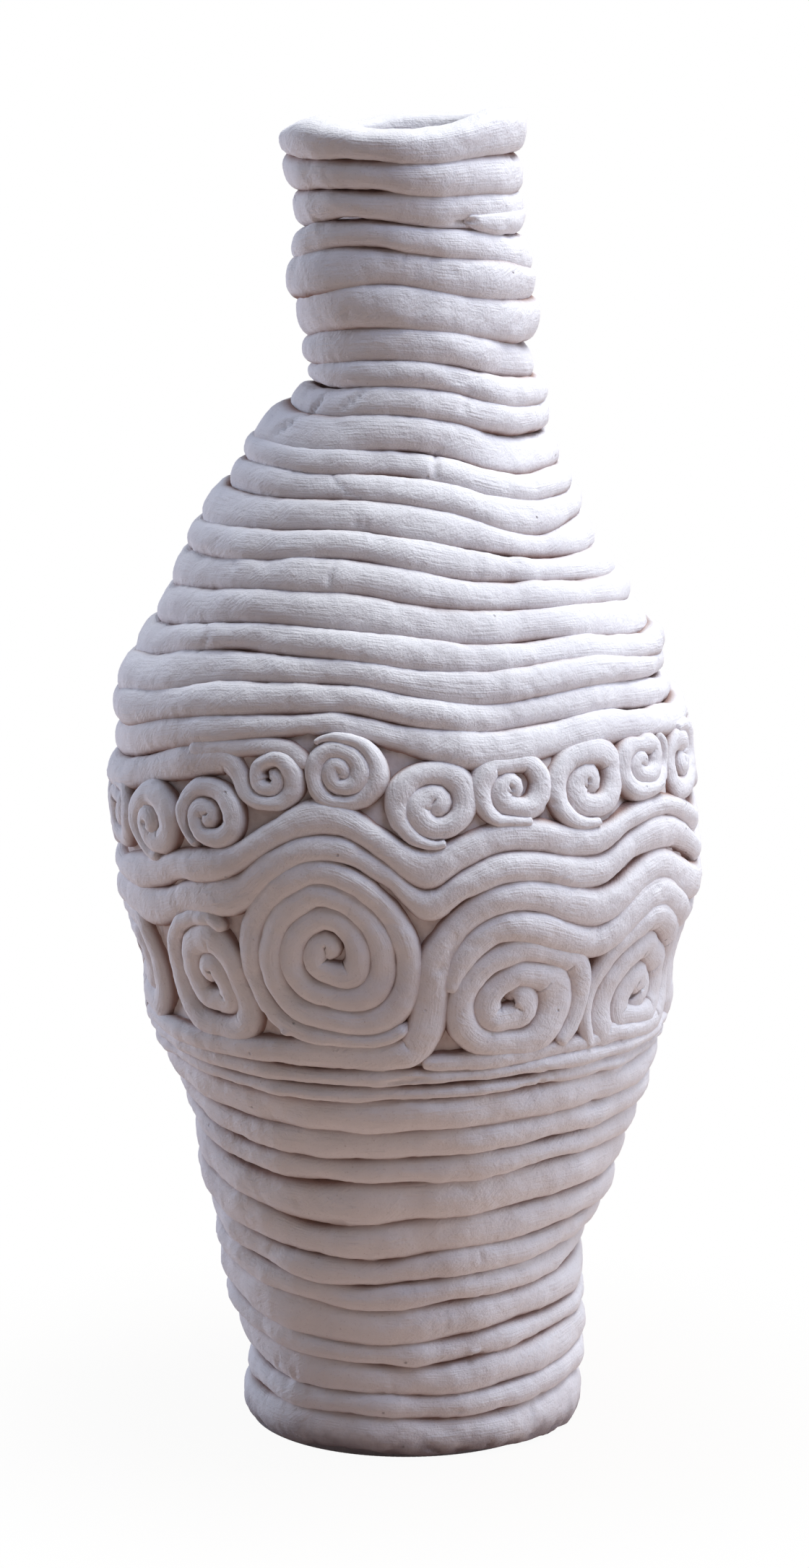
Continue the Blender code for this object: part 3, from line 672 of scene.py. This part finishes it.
def roll(name, lay, seed, node, rough_hand=1.0):
    """Rolls a rope of clay, lays it on the body and seats it in the frame."""
    ropes = bpy.context.scene.vase_ropes
    lay, run = lay.evened(ropes.step / MM)
    rough = place(lay.azimuth, lay.height, outline(lay.height))
    uneven, lump = ropes.uneven * rough_hand, ropes.lump / MM * rough_hand
    lay.half_width = lay.half_width * (1 + uneven * wobble(rough, SWELL_WAVE, seed))
    lay.sunk = lay.sunk + lump * wobble(rough, SINK_WAVE, seed + 0.5)
    lay.height = lay.height + lump * wobble(rough, BEND_WAVE, BEND_SEED)
    middle, out = lay.spine()
    rope = tube(name, middle, lay.closed, ropes.bevel)
    press(rope, lay, middle, out, run, seed)
    knead(rope, rough_hand * ropes.lump, ropes.dent)
    bpy.ops.object.mode_set(mode="EDIT")
    bpy.ops.mesh.select_all(action="SELECT")
    if not lay.closed:
        bpy.ops.mesh.remove_doubles(threshold=0.08 * MM)
    bpy.ops.mesh.normals_make_consistent(inside=False)
    bpy.ops.object.mode_set(mode="OBJECT")
    bpy.ops.object.shade_smooth()
    rope.data.materials.append(bpy.data.materials["bisque_clay"])
    seat(rope, node)
    return rope


def seat(piece, node):
    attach(piece, BODY)
    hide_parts(node)


def rounded_ends(run, half_width):
    """Share of its full section that a rope keeps near its two rounded ends."""
    share = np.ones(len(run))
    for gone, half in ((run - run[0], half_width[0]), (run[-1] - run, half_width[-1])):
        t = np.clip(gone / half, 0.0, 1.0)
        share *= np.sqrt(1 - (1 - t) ** 2)
    return share


def between(azimuth, low, high, press_by, half_depth, squared):
    """Lay of a closed ring of rope between two seams."""
    low, high = np.asarray(low), np.asarray(high)
    edges = [place(azimuth, edge, outline(edge)) for edge in (low, high)]
    height = (low + high) / 2
    arc = np.radians(np.gradient(azimuth)) * outline(height)
    climb = np.gradient(height) / arc
    half_width = np.linalg.norm(edges[1] - edges[0], axis=1) / 2 / np.sqrt(1 + climb ** 2)
    ones = np.ones(len(azimuth))
    return Lay(azimuth, height, half_width * (1 + press_by), half_depth * ones, 0 * ones, True,
               squared)


def ring(name, azimuths, low, high, press_by, seed, node, rough_hand=1.0,
         squared=ROPE_SQUARED):
    """A rope laid as a closed ring between two seams."""
    ropes = bpy.context.scene.vase_ropes
    lay = between(ROUND, glide_round(azimuths, low, ROUND), glide_round(azimuths, high, ROUND),
                  press_by, ropes.half_depth / MM, squared)
    return roll(name, lay, seed, node, rough_hand)


def reach_within(cell, floor, ceiling, angle):
    """How far a spiral reaches at its angles, pressed in by what lies above and below it."""
    middle, rise, reaches = cell[0], cell[1], cell[5]
    centre = BAND_FRONT + rise
    reach = SPREAD_OUT * glide_round(REACH_ANGLES, reaches, angle)
    for _ in range(CUTS):
        azimuth = middle + reach * np.cos(np.radians(angle)) / per_degree(centre)
        height = centre + reach * np.sin(np.radians(angle))
        outside = (height < floor(azimuth) - PRESSED_IN) | (height > ceiling(azimuth) + PRESSED_IN)
        reach = np.where(outside & (reach > LEAST_REACH), reach - CUT_BACK, reach)
    return reach


def wound(cell, floor, ceiling, press_by, end_thickness=END_THICKNESS):
    """Lay of a rope wound into a flat spiral, from its outer end in to the nub in its middle."""
    middle, rise, end_angle, way, turns, reaches = cell
    centre = BAND_FRONT + rise
    last = turns - NUB_TURN
    thickness = 1 / (last + NUB_ROOM)
    count = int(TURN_STEPS * last)
    turn = np.arange(count) / TURN_STEPS
    thin = np.minimum(1.0, end_thickness + (1 - end_thickness) * turn / END_TAPER)
    closing = np.clip((turn - CLOSING_IN) / (1 - CLOSING_IN), 0.0, 1.0)
    outer = 1 - thickness * end_thickness * closing
    inner = outer - thickness * thin
    for i in range(TURN_STEPS, count):
        outer[i] = inner[i - TURN_STEPS]
        inner[i] = outer[i] - thickness
    spot = (outer + inner) / 2
    half = (outer - inner) / 2
    tip = np.linspace(0.0, 1.0, TURN_STEPS // 4)[1:]
    turn = np.append(turn, turn[-1] + tip * 0.25)
    spot = np.append(spot, spot[-1] - 0.68 * thickness * tip)
    half = np.append(half, half[-1] * (1 + 0.2 * tip))
    angle = end_angle + way * 360 * turn
    reach = reach_within(cell, floor, ceiling, angle)
    spot = spot * reach
    half = half * reach
    x = spot * np.cos(np.radians(angle))
    y = spot * np.sin(np.radians(angle))
    run = np.insert(np.cumsum(np.hypot(np.diff(x), np.diff(y))), 0, 0.0)
    return ended(middle + x / per_degree(centre), centre + y, half, run, press_by, 0.0)


def ended(azimuth, height, half, run, press_by, sunk):
    """Lay of a rope with rounded ends that sink towards the wall."""
    share = rounded_ends(run, half)
    depth = spiral_depth(half)
    shown = np.sqrt(share)
    return Lay(azimuth, height, half * (1 + press_by) * share, depth * shown,
               sunk + depth * (1 - shown))


def spiral_depth(half_width):
    """Half depth of a rope in the band: a thinner rope also stands out less."""
    return 2.4 + 0.62 * half_width


def follow(rows, press_by, sunk=0.0):
    """Lay of a rope along points: azimuth, height and width."""
    rows = np.array(rows, float)
    steps = np.hypot(np.diff(rows[:, 0]) * per_degree(rows[1:, 1]), np.diff(rows[:, 1]))
    run = np.insert(np.cumsum(steps), 0, 0.0)
    at = np.arange(0.0, run[-1], 0.8)
    azimuth, height, width = (glide(run, column, at) for column in rows.T)
    return ended(azimuth, height, width / 2, at, press_by, sunk)


# Materials


def add_node(tree, kind, settings=None, **inputs):
    """Adds a node with its settings, and a value or a link for each input, which is given by its
    name, or by its number after an i. A link from a node is from its first output."""
    node = tree.nodes.new("ShaderNode" + kind)
    for key, value in (settings or {}).items():
        setattr(node, key, value)
    for key, value in inputs.items():
        socket = node.inputs[int(key[1:]) if key[1:].isdigit() else key]
        if isinstance(value, bpy.types.Node):
            value = value.outputs[0]
        if isinstance(value, bpy.types.NodeSocket):
            tree.links.new(value, socket)
        else:
            socket.default_value = value
    return node


def dull(name, roughness, specular):
    """A new material without a shine, and its shader."""
    material = bpy.data.materials.new(name)
    material.use_nodes = True
    shader = material.node_tree.nodes["Principled BSDF"]
    shader.inputs["Roughness"].default_value = roughness
    shader.inputs["Specular IOR Level"].default_value = specular
    return material, shader


def bisque_clay(clay):
    """Unglazed white clay: smeared slip with brush strokes along each rope, fine grog, pits
    darkened as painted shade, and a warmer, darker tint painted in the seams as shade, so it looks
    dull, soft and slightly rough."""
    material, shader = dull("bisque_clay", clay.roughness, CLAY_SPECULAR)
    tree = material.node_tree
    where = add_node(tree, "TexCoord")
    inside = where.outputs["Object"]

    # Soft noise all through the clay: its size and detail
    noises = {name: add_node(tree, "TexNoise", None, Vector=inside, Scale=1 / size, Detail=detail)
              for name, size, detail in (
                  ("grain", clay.grain, 3.0), ("patches", 45 * MM, 4.0),
                  ("hatched", 14 * MM, 2.0), ("ragged", 9 * MM, 3.0), ("soft", 5 * MM, 3.0))}
    # Brush strokes: their length, distance and turn from the rope, and where the second lie
    strokes = []
    for length, apart, turned in ((12 * MM, clay.stroke, 0.0), (5 * MM, 1.3 * clay.stroke, 0.6)):
        along = add_node(tree, "Mapping", {"vector_type": "TEXTURE"}, Scale=(length, apart, 1),
                         Vector=where.outputs["UV"], Rotation=(0, 0, turned))
        strokes.append(add_node(tree, "TexNoise", {"noise_dimensions": "2D"}, Vector=along,
                                Scale=1.0, Detail=3.0))
    hatched = add_node(tree, "MapRange", SMOOTH, i0=noises["hatched"], i1=0.45, i2=0.6)
    brushed = add_node(tree, "Mix", {"data_type": "FLOAT"}, i0=hatched, i2=strokes[0],
                       i3=strokes[1])
    # A pit in the middle of a few of the cells
    cells = add_node(tree, "TexVoronoi", None, Vector=inside, Scale=1 / clay.pits)
    chosen = add_node(tree, "SeparateColor", None, Color=cells.outputs["Color"])
    chosen = add_node(tree, "MapRange", SMOOTH, i0=chosen, i1=0.8, i2=0.85)
    pits = add_node(tree, "MapRange", SMOOTH, i0=cells.outputs["Distance"], i1=0.02, i2=0.1,
                    i3=1.0, i4=0.0)
    pits = add_node(tree, "Math", {"operation": "MULTIPLY"}, i0=pits, i1=chosen)
    depth = add_node(tree, "Attribute", {"attribute_name": "depth"}).outputs["Fac"]
    height = add_node(tree, "SeparateXYZ", None, Vector=inside).outputs["Z"]
    # Painted shade round the foot: darker towards the bottom, with a ragged upper edge
    foot = add_node(tree, "Math", {"operation": "MULTIPLY_ADD"}, i0=noises["ragged"],
                    i1=-14 * MM, i2=height)

    # Each tint: what it is read from, from where to where and its share at both, and its colour
    colour = (*clay.crown, 1)
    for share, reach, tint in (
            (noises["patches"], {"i1": 0.5, "i2": 0.8, "i4": 0.5}, clay.stain_and_pit_shade),
            # Painted shade in the seams: the deeper below the crown, the darker and warmer the
            # clay
            (depth, {"i1": 1.0, "i2": 4.2}, clay.seam),
            (noises["grain"], {"i1": 0.6, "i2": 0.8, "i4": 0.35}, clay.seam),
            (brushed, {"i1": 0.35, "i2": 0.2, "i4": 0.3}, clay.stain_and_pit_shade),
            # Painted shade in the pits: each pit is darkened
            (pits, None, clay.stain_and_pit_shade),
            (foot, {"i1": -6 * MM, "i2": 7 * MM, "i3": 0.8, "i4": 0.0}, clay.foot)):
        if reach:
            share = add_node(tree, "MapRange", SMOOTH, i0=share, **reach)
        colour = add_node(tree, "Mix", {"data_type": "RGBA"}, i0=share, i6=colour,
                          i7=(*tint, 1)).outputs[2]
    tree.links.new(colour, shader.inputs["Base Color"])

    # Each relief: what it is read from, its strength and height, and whether it goes in
    bump = {}
    for relief, strength, rise, sunk in (
            (noises["soft"], 0.6, 1.1 * MM, False), (brushed, 0.6, 0.5 * MM, False),
            (noises["grain"], 0.6, 0.35 * MM, False), (pits, 0.7, 0.8 * MM, True)):
        bump = {"Normal": add_node(tree, "Bump", {"invert": sunk}, Strength=strength,
                                   Distance=rise, Height=relief, **bump)}
    tree.links.new(bump["Normal"].outputs[0], shader.inputs["Normal"])


def backing_clay(clay):
    """The same clay smeared by hand behind the spirals: pinker and a little darker than the crown
    as painted shade in the recess, mottled with the seam colour, with no strokes.
    """
    material, shader = dull("smeared_backing_clay", clay.roughness, CLAY_SPECULAR)
    tree = material.node_tree
    where = add_node(tree, "TexCoord")
    grain = add_node(tree, "TexNoise", None, Vector=where.outputs["Object"],
                     Scale=1 / (3 * clay.grain), Detail=5.0)
    mottle = add_node(tree, "MapRange", SMOOTH, i0=grain, i1=0.3, i2=0.9, i4=0.3)
    colour = add_node(tree, "Mix", {"data_type": "RGBA"}, i0=mottle, i6=(*clay.backing, 1),
                      i7=(*clay.seam, 1))
    bump = add_node(tree, "Bump", None, Strength=0.5, Distance=0.5 * MM, Height=grain)
    tree.links.new(colour.outputs[2], shader.inputs["Base Color"])
    tree.links.new(bump.outputs[0], shader.inputs["Normal"])


def seen_directly(tree):
    """1 for rays from the camera, from a gloss or through glass, and 0 for the others."""
    path = add_node(tree, "LightPath")
    seen = path.outputs["Is Camera Ray"]
    for ray in ("Is Glossy Ray", "Is Transmission Ray"):
        seen = add_node(tree, "Math", {"operation": "MAXIMUM"}, i0=seen, i1=path.outputs[ray])
    return seen


def white_paper(stage):
    """Matt pale paper, seen directly as white: it keeps a soft shadow by the vase, and the light
    that it throws back is warm."""
    material, shader = dull("matt_background_paper", 0.9, 0.1)
    tree = material.node_tree
    shader.inputs["Base Color"].default_value = (*stage.floor, 1)
    where = add_node(tree, "TexCoord")
    distance = add_node(tree, "VectorMath", {"operation": "LENGTH"}, i0=where.outputs["Object"])
    fade = add_node(tree, "MapRange", SMOOTH, i0=distance.outputs["Value"], i1=stage.shadow,
                    i2=SHADOW_GONE * stage.shadow, i3=1 - SHADOW_LEFT, i4=1.0)
    share = add_node(tree, "Math", {"operation": "MULTIPLY"}, i0=fade, i1=seen_directly(tree))
    white = add_node(tree, "Emission", None, Color=(1, 1, 1, 1), Strength=1.0)
    mixed = add_node(tree, "MixShader", None, i0=share, i1=shader, i2=white)
    tree.links.new(mixed.outputs[0], tree.nodes["Material Output"].inputs["Surface"])
    return material


# Operators


class VASE_OT_clay(Operator):
    """Mixes the clay"""
    bl_idname = "vase.clay"
    bl_label = "Clay"

    def execute(self, context):
        bisque_clay(context.scene.vase_clay)
        backing_clay(context.scene.vase_clay)
        return {"FINISHED"}


class VASE_OT_base_slab(Operator):
    """Cuts the flat slab that the vase stands on"""
    bl_idname = "vase.base_slab"
    bl_label = "Base slab"

    def execute(self, context):
        clear_selection()
        bpy.ops.mesh.primitive_cylinder_add(vertices=180, radius=SLAB_RADIUS * MM,
                                            depth=SLAB_TOP * MM,
                                            location=(SHIFTS[0] * MM, 0, SLAB_TOP / 2 * MM))
        slab = context.object
        slab.name = "foot_slab"
        bpy.ops.object.transform_apply(location=True)
        bpy.ops.object.mode_set(mode="EDIT")
        bpy.ops.mesh.select_all(action="SELECT")
        bpy.ops.mesh.bevel(offset=SLAB_BEVEL * MM, segments=4, affect="EDGES")
        bpy.ops.object.mode_set(mode="OBJECT")
        bpy.ops.object.shade_smooth_by_angle(angle=math.radians(40))
        slab.data.attributes.new("depth", "FLOAT", "POINT")
        slab.data.materials.append(bpy.data.materials["bisque_clay"])
        seat(slab, "base_slab")
        return {"FINISHED"}


class VASE_OT_lower_ropes(Operator):
    """Lays the smeared ropes from the foot up to the band"""
    bl_idname = "vase.lower_ropes"
    bl_label = "Lower ropes"

    def execute(self, context):
        smear = context.scene.vase_ropes.smear
        number = 0
        for node in ROPES_IN_WALL:
            azimuths, edges = seams(node)
            for low, high in zip(edges, edges[1:]):
                number += 1
                if number == 1:
                    low = low - SLAB_TOP + LOWEST_ROPE
                ring(f"lower_rope_{number:02d}", azimuths, low, high, smear, number, node,
                     LOWER_ROUGH, LOWER_SQUARED)
        return {"FINISHED"}


class VASE_OT_backing(Operator):
    """Smears the clay wall behind the band"""
    bl_idname = "vase.backing"
    bl_label = "Backing"

    def execute(self, context):
        clear_selection()
        node = frame["nodes"]["band_backing"]
        node.select_set(True)
        context.view_layer.objects.active = node
        bpy.ops.object.duplicate()
        wall = context.object
        wall.name = "smeared_backing"
        wall.data.name = wall.name
        del wall["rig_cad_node"]
        bpy.ops.object.mode_set(mode="EDIT")
        bpy.ops.mesh.select_all(action="SELECT")
        bpy.ops.mesh.remove_doubles(threshold=0.01 * MM)
        bpy.ops.mesh.tris_convert_to_quads()
        bpy.ops.mesh.subdivide(number_cuts=5)
        bpy.ops.object.mode_set(mode="OBJECT")
        azimuth, height, radius = unrolled(corners(wall.data))
        outer = outline(height)
        radius = np.where(radius > outer - WALL + 1, outer - BACKING_DEPTH, radius)
        points = place(azimuth, height, radius)
        wall.data.vertices.foreach_set("co", (points * MM).astype(np.float32).ravel())
        ropes = context.scene.vase_ropes
        knead(wall, 2.2 * ropes.lump, 3 * ropes.dent)
        bpy.ops.object.shade_smooth()
        wall.data.materials.clear()
        wall.data.materials.append(bpy.data.materials["smeared_backing_clay"])
        seat(wall, "band_backing")
        return {"FINISHED"}


def raised(rows, ground=lambda azimuth: BAND_FRONT):
    """Points along a rope, with their rise above the ground made a height."""
    return [(azimuth, ground(azimuth) + rise, width) for azimuth, rise, width in rows]


class VASE_OT_rosettes(Operator):
    """Winds the large spirals"""
    bl_idname = "vase.rosettes"
    bl_label = "Rosettes"

    def execute(self, context):
        press_by = context.scene.vase_ropes.band_press
        ground, wave = level("lower_wall_5", -1), level("wave_rope_lower", 0)
        tail = np.array(ARCH_TAIL)
        arch = np.array(ARCH_INNER)

        def floor(azimuth):
            turned = (azimuth + 180) % 360 - 180
            on_tail = (turned > tail[0, 0]) & (turned < 2.0)
            raised = np.interp(turned, tail[:, 0], tail[:, 1] + tail[:, 2] / 2 - 0.8)
            return ground(azimuth) + np.where(on_tail, raised, 0.0)

        def ceiling(azimuth):
            under = BAND_FRONT + np.interp(azimuth, arch[:, 0], arch[:, 1] - arch[:, 2] / 2)
            arched = (azimuth > arch[2, 0]) & (azimuth < arch[-1, 0])
            return np.where(arched, under, wave(azimuth))

        for number, cell in enumerate(ROSETTES, 1):
            lay = wound(cell, floor, ceiling, press_by)
            roll(f"rosette_{number}_wound", lay, ROSETTE_SEED + number, f"rosette_{number}")
        return {"FINISHED"}


class VASE_OT_arch_ropes(Operator):
    """Lays the two ropes arched over the rosettes on the right"""
    bl_idname = "vase.arch_ropes"
    bl_label = "Arch ropes"

    def execute(self, context):
        press_by = context.scene.vase_ropes.band_press
        ground = level("lower_wall_5", -1)
        footing = follow(raised(FOOTING, ground), press_by, FOOTING_SUNK)
        outer = follow(raised(ARCH_TAIL, ground) + raised(ARCH_OUTER), press_by)
        inner = follow(raised(ARCH_INNER), press_by)
        roll("band_footing_smeared", footing, ARCH_SEED + 2, "arch_rope_outer")
        roll("arch_outer_laid", outer, ARCH_SEED, "arch_rope_outer")
        roll("arch_inner_laid", inner, ARCH_SEED + 1, "arch_rope_inner")
        return {"FINISHED"}


class VASE_OT_wave_ropes(Operator):
    """Lays the two ropes that wave all round the belly"""
    bl_idname = "vase.wave_ropes"
    bl_label = "Wave ropes"

    def execute(self, context):
        press_by = context.scene.vase_ropes.band_press
        for number, node in enumerate(("wave_rope_lower", "wave_rope_upper")):
            azimuths, (low, high) = seams(node)
            ring(f"{node}_laid", azimuths, low, high, press_by, WAVE_SEED + number, node)
        return {"FINISHED"}


class VASE_OT_curled_course(Operator):
    """Lays the course that ends in a scroll, and the tongue of clay over it"""
    bl_idname = "vase.curled_course"
    bl_label = "Curled course"

    def execute(self, context):
        press_by = context.scene.vase_ropes.band_press
        above = level("shoulder_course_01", 0)

        def nothing_below(azimuth):
            return np.full(np.shape(azimuth), -math.inf)

        curl = wound(CURLED_SCROLL, nothing_below, above, 0.0, 1.0)
        rows = [(a, above(a) - CURLED_ROPE / 2, CURLED_ROPE)
                for a in np.arange(CURLED_START, CURLED_LEAVES, CURLED_STEP)]
        rows += raised(CURLED_BEND)
        # The scroll without its rounded ends, thinned out to a point every few degrees
        bare = slice(int(len(curl.azimuth) * 0.05), -12, 4)
        rows += list(zip(curl.azimuth[bare], curl.height[bare], 2 * curl.half_width[bare]))
        roll("curled_course_laid", follow(rows, press_by), CURLED_SEED, "curled_course")
        tongue = follow(raised(TONGUE), press_by, TONGUE_SUNK)
        roll("curled_tongue", tongue, CURLED_SEED + 1, "curled_course")
        return {"FINISHED"}


class VASE_OT_scrolls(Operator):
    """Winds the row of small scrolls"""
    bl_idname = "vase.scrolls"
    bl_label = "Scrolls"

    def execute(self, context):
        press_by = context.scene.vase_ropes.band_press
        floor, above = level("wave_rope_upper", -1), level("shoulder_course_01", 0)

        def ceiling(azimuth):
            turned = (azimuth + 180) % 360 - 180
            covered = (turned > CURLED_START - 2) & (turned < CURLED_LEAVES + 3)
            return above(azimuth) - np.where(covered, CURLED_ROPE, 0.0)

        width = (BACK_SCROLLS_TO - BACK_SCROLLS_FROM) / BACK_SCROLLS
        cells = list(SCROLLS)
        for k in range(BACK_SCROLLS):
            middle = BACK_SCROLLS_FROM + (k + 0.5) * width
            rise = (floor(middle) + ceiling(middle)) / 2 - BAND_FRONT
            turned = BACK_SCROLL_FIRST + BACK_SCROLL_TURNED * k
            cells.append((middle, rise, turned, -1, BACK_SCROLL_TURNS, BACK_SCROLL_REACH))
        for number, cell in enumerate(cells, 1):
            lay = wound(cell, floor, ceiling, press_by)
            node = f"scroll_{number:02d}"
            roll(f"{node}_wound", lay, SCROLL_SEED + number, node)
        return {"FINISHED"}


def lay_courses(prefix, count, digits, seed):
    """Lays the ropes of a run of courses."""
    press_by = bpy.context.scene.vase_ropes.press
    for number in range(1, count + 1):
        node = f"{prefix}_{number:0{digits}d}"
        azimuths, (low, high) = seams(node)
        ring(f"{node}_laid", azimuths, low, high, press_by, seed + number, node, COURSE_ROUGH)


class VASE_OT_shoulder_ropes(Operator):
    """Lays the ropes of the shoulder"""
    bl_idname = "vase.shoulder_ropes"
    bl_label = "Shoulder ropes"

    def execute(self, context):
        lay_courses("shoulder_course", 13, 2, SHOULDER_SEED)
        return {"FINISHED"}


class VASE_OT_neck_ropes(Operator):
    """Lays the ropes of the neck"""
    bl_idname = "vase.neck_ropes"
    bl_label = "Neck ropes"

    def execute(self, context):
        lay_courses("neck_course", 6, 1, NECK_SEED)
        lap = follow(NECK_LAP, context.scene.vase_ropes.press, LAP_SUNK)
        roll("neck_lap", lap, LAP_SEED, "neck_course_4")
        return {"FINISHED"}


class VASE_OT_rim(Operator):
    """Lays the thick rope round the mouth"""
    bl_idname = "vase.rim"
    bl_label = "Rim"

    def execute(self, context):
        azimuths, (low, high) = seams("rim_course")
        top = glide_round(azimuths, high, ROUND) + glide_round(RIM_AZIMUTHS, RIM_TOP, ROUND)
        lay = between(ROUND, glide_round(azimuths, low, ROUND), top, RIM_PRESS,
                      glide_round(RIM_AZIMUTHS, RIM_THICKNESS, ROUND) / 2, RIM_SQUARED)
        rim = roll("rim_rope", lay, RIM_SEED, "rim_course", RIM_ROUGH)
        # The rim gets no painted seam shade
        rim.data.attributes["depth"].data.foreach_set("value", np.zeros(len(rim.data.vertices)))
        return {"FINISHED"}


class VASE_OT_stage(Operator):
    """Sets the camera, the floor and the light"""
    bl_idname = "vase.stage"
    bl_label = "Stage"

    def execute(self, context):
        stage = context.scene.vase_stage
        scene = context.scene
        clear_selection()
        bpy.ops.mesh.primitive_plane_add(size=12.0, location=(0, 0, 0))
        floor = context.object
        floor.name = "floor"
        floor.data.materials.append(white_paper(stage))

        bpy.ops.object.camera_add(location=(0, -stage.distance, stage.height),
                                  rotation=(math.pi / 2 - stage.tilt, 0, 0))
        camera = context.object
        camera.data.sensor_fit = "VERTICAL"
        camera.data.sensor_height = 36
        camera.data.lens = stage.focal
        camera.data.shift_x = -AXIS_OFFSET / PHOTO_HEIGHT
        camera.data.clip_end = 20
        scene.camera = camera

        middle = Vector((0, 0, LAMPS_AIM_AT))
        for name, azimuth, elevation, size, strength, colour in LAMPS:
            turn, rise = math.radians(azimuth), math.radians(elevation)
            away = Vector((math.sin(turn) * math.cos(rise), -math.cos(turn) * math.cos(rise),
                           math.sin(rise)))
            clear_selection()
            bpy.ops.object.light_add(type="AREA", location=middle + LAMP_DISTANCE * away)
            lamp = context.object
            lamp.name = name
            lamp.data.size = size
            lamp.data.energy = strength * stage.lamps
            lamp.data.color = srgb(colour)
            lamp.rotation_euler = (-away).to_track_quat("-Z", "Y").to_euler()

        world = bpy.data.worlds.new("studio")
        scene.world = world
        world.use_nodes = True
        tree = world.node_tree
        tree.nodes.clear()
        soft, white = (add_node(tree, "Background", None, Color=(*colour, 1), Strength=strength)
                       for colour, strength in ((srgb(SKY_COLOUR), stage.sky), ((1, 1, 1), 1.0)))
        mixed = add_node(tree, "MixShader", None, i0=seen_directly(tree), i1=soft, i2=white)
        add_node(tree, "OutputWorld", None, Surface=mixed)
        scene.view_settings.view_transform = "Standard"
        return {"FINISHED"}


class VASE_PT_panel(Panel):
    """Lists the steps of the vase"""
    bl_idname = "VASE_PT_panel"
    bl_label = "Coil-built vase"
    bl_space_type = "VIEW_3D"
    bl_region_type = "UI"
    bl_category = "Vase"

    def draw(self, context):
        for step in STEPS:
            self.layout.operator(step.bl_idname)


STEPS = (VASE_OT_clay, VASE_OT_base_slab, VASE_OT_lower_ropes, VASE_OT_backing, VASE_OT_rosettes,
         VASE_OT_arch_ropes, VASE_OT_wave_ropes, VASE_OT_curled_course, VASE_OT_scrolls,
         VASE_OT_shoulder_ropes, VASE_OT_neck_ropes, VASE_OT_rim, VASE_OT_stage)
SETTINGS = {"vase_ropes": VaseRopes, "vase_clay": VaseClay, "vase_stage": VaseStage}


def register():
    for group in (*SETTINGS.values(), *STEPS, VASE_PT_panel):
        bpy.utils.register_class(group)
    for name, group in SETTINGS.items():
        setattr(bpy.types.Scene, name, PointerProperty(type=group))


def unregister():
    for name in SETTINGS:
        delattr(bpy.types.Scene, name)
    for group in reversed((*SETTINGS.values(), *STEPS, VASE_PT_panel)):
        bpy.utils.unregister_class(group)


def main():
    register()
    for step in STEPS:
        group, name = step.bl_idname.split(".")
        getattr(getattr(bpy.ops, group), name)()
    bpy.context.view_layer.update()


if __name__ == "__main__":
    main()
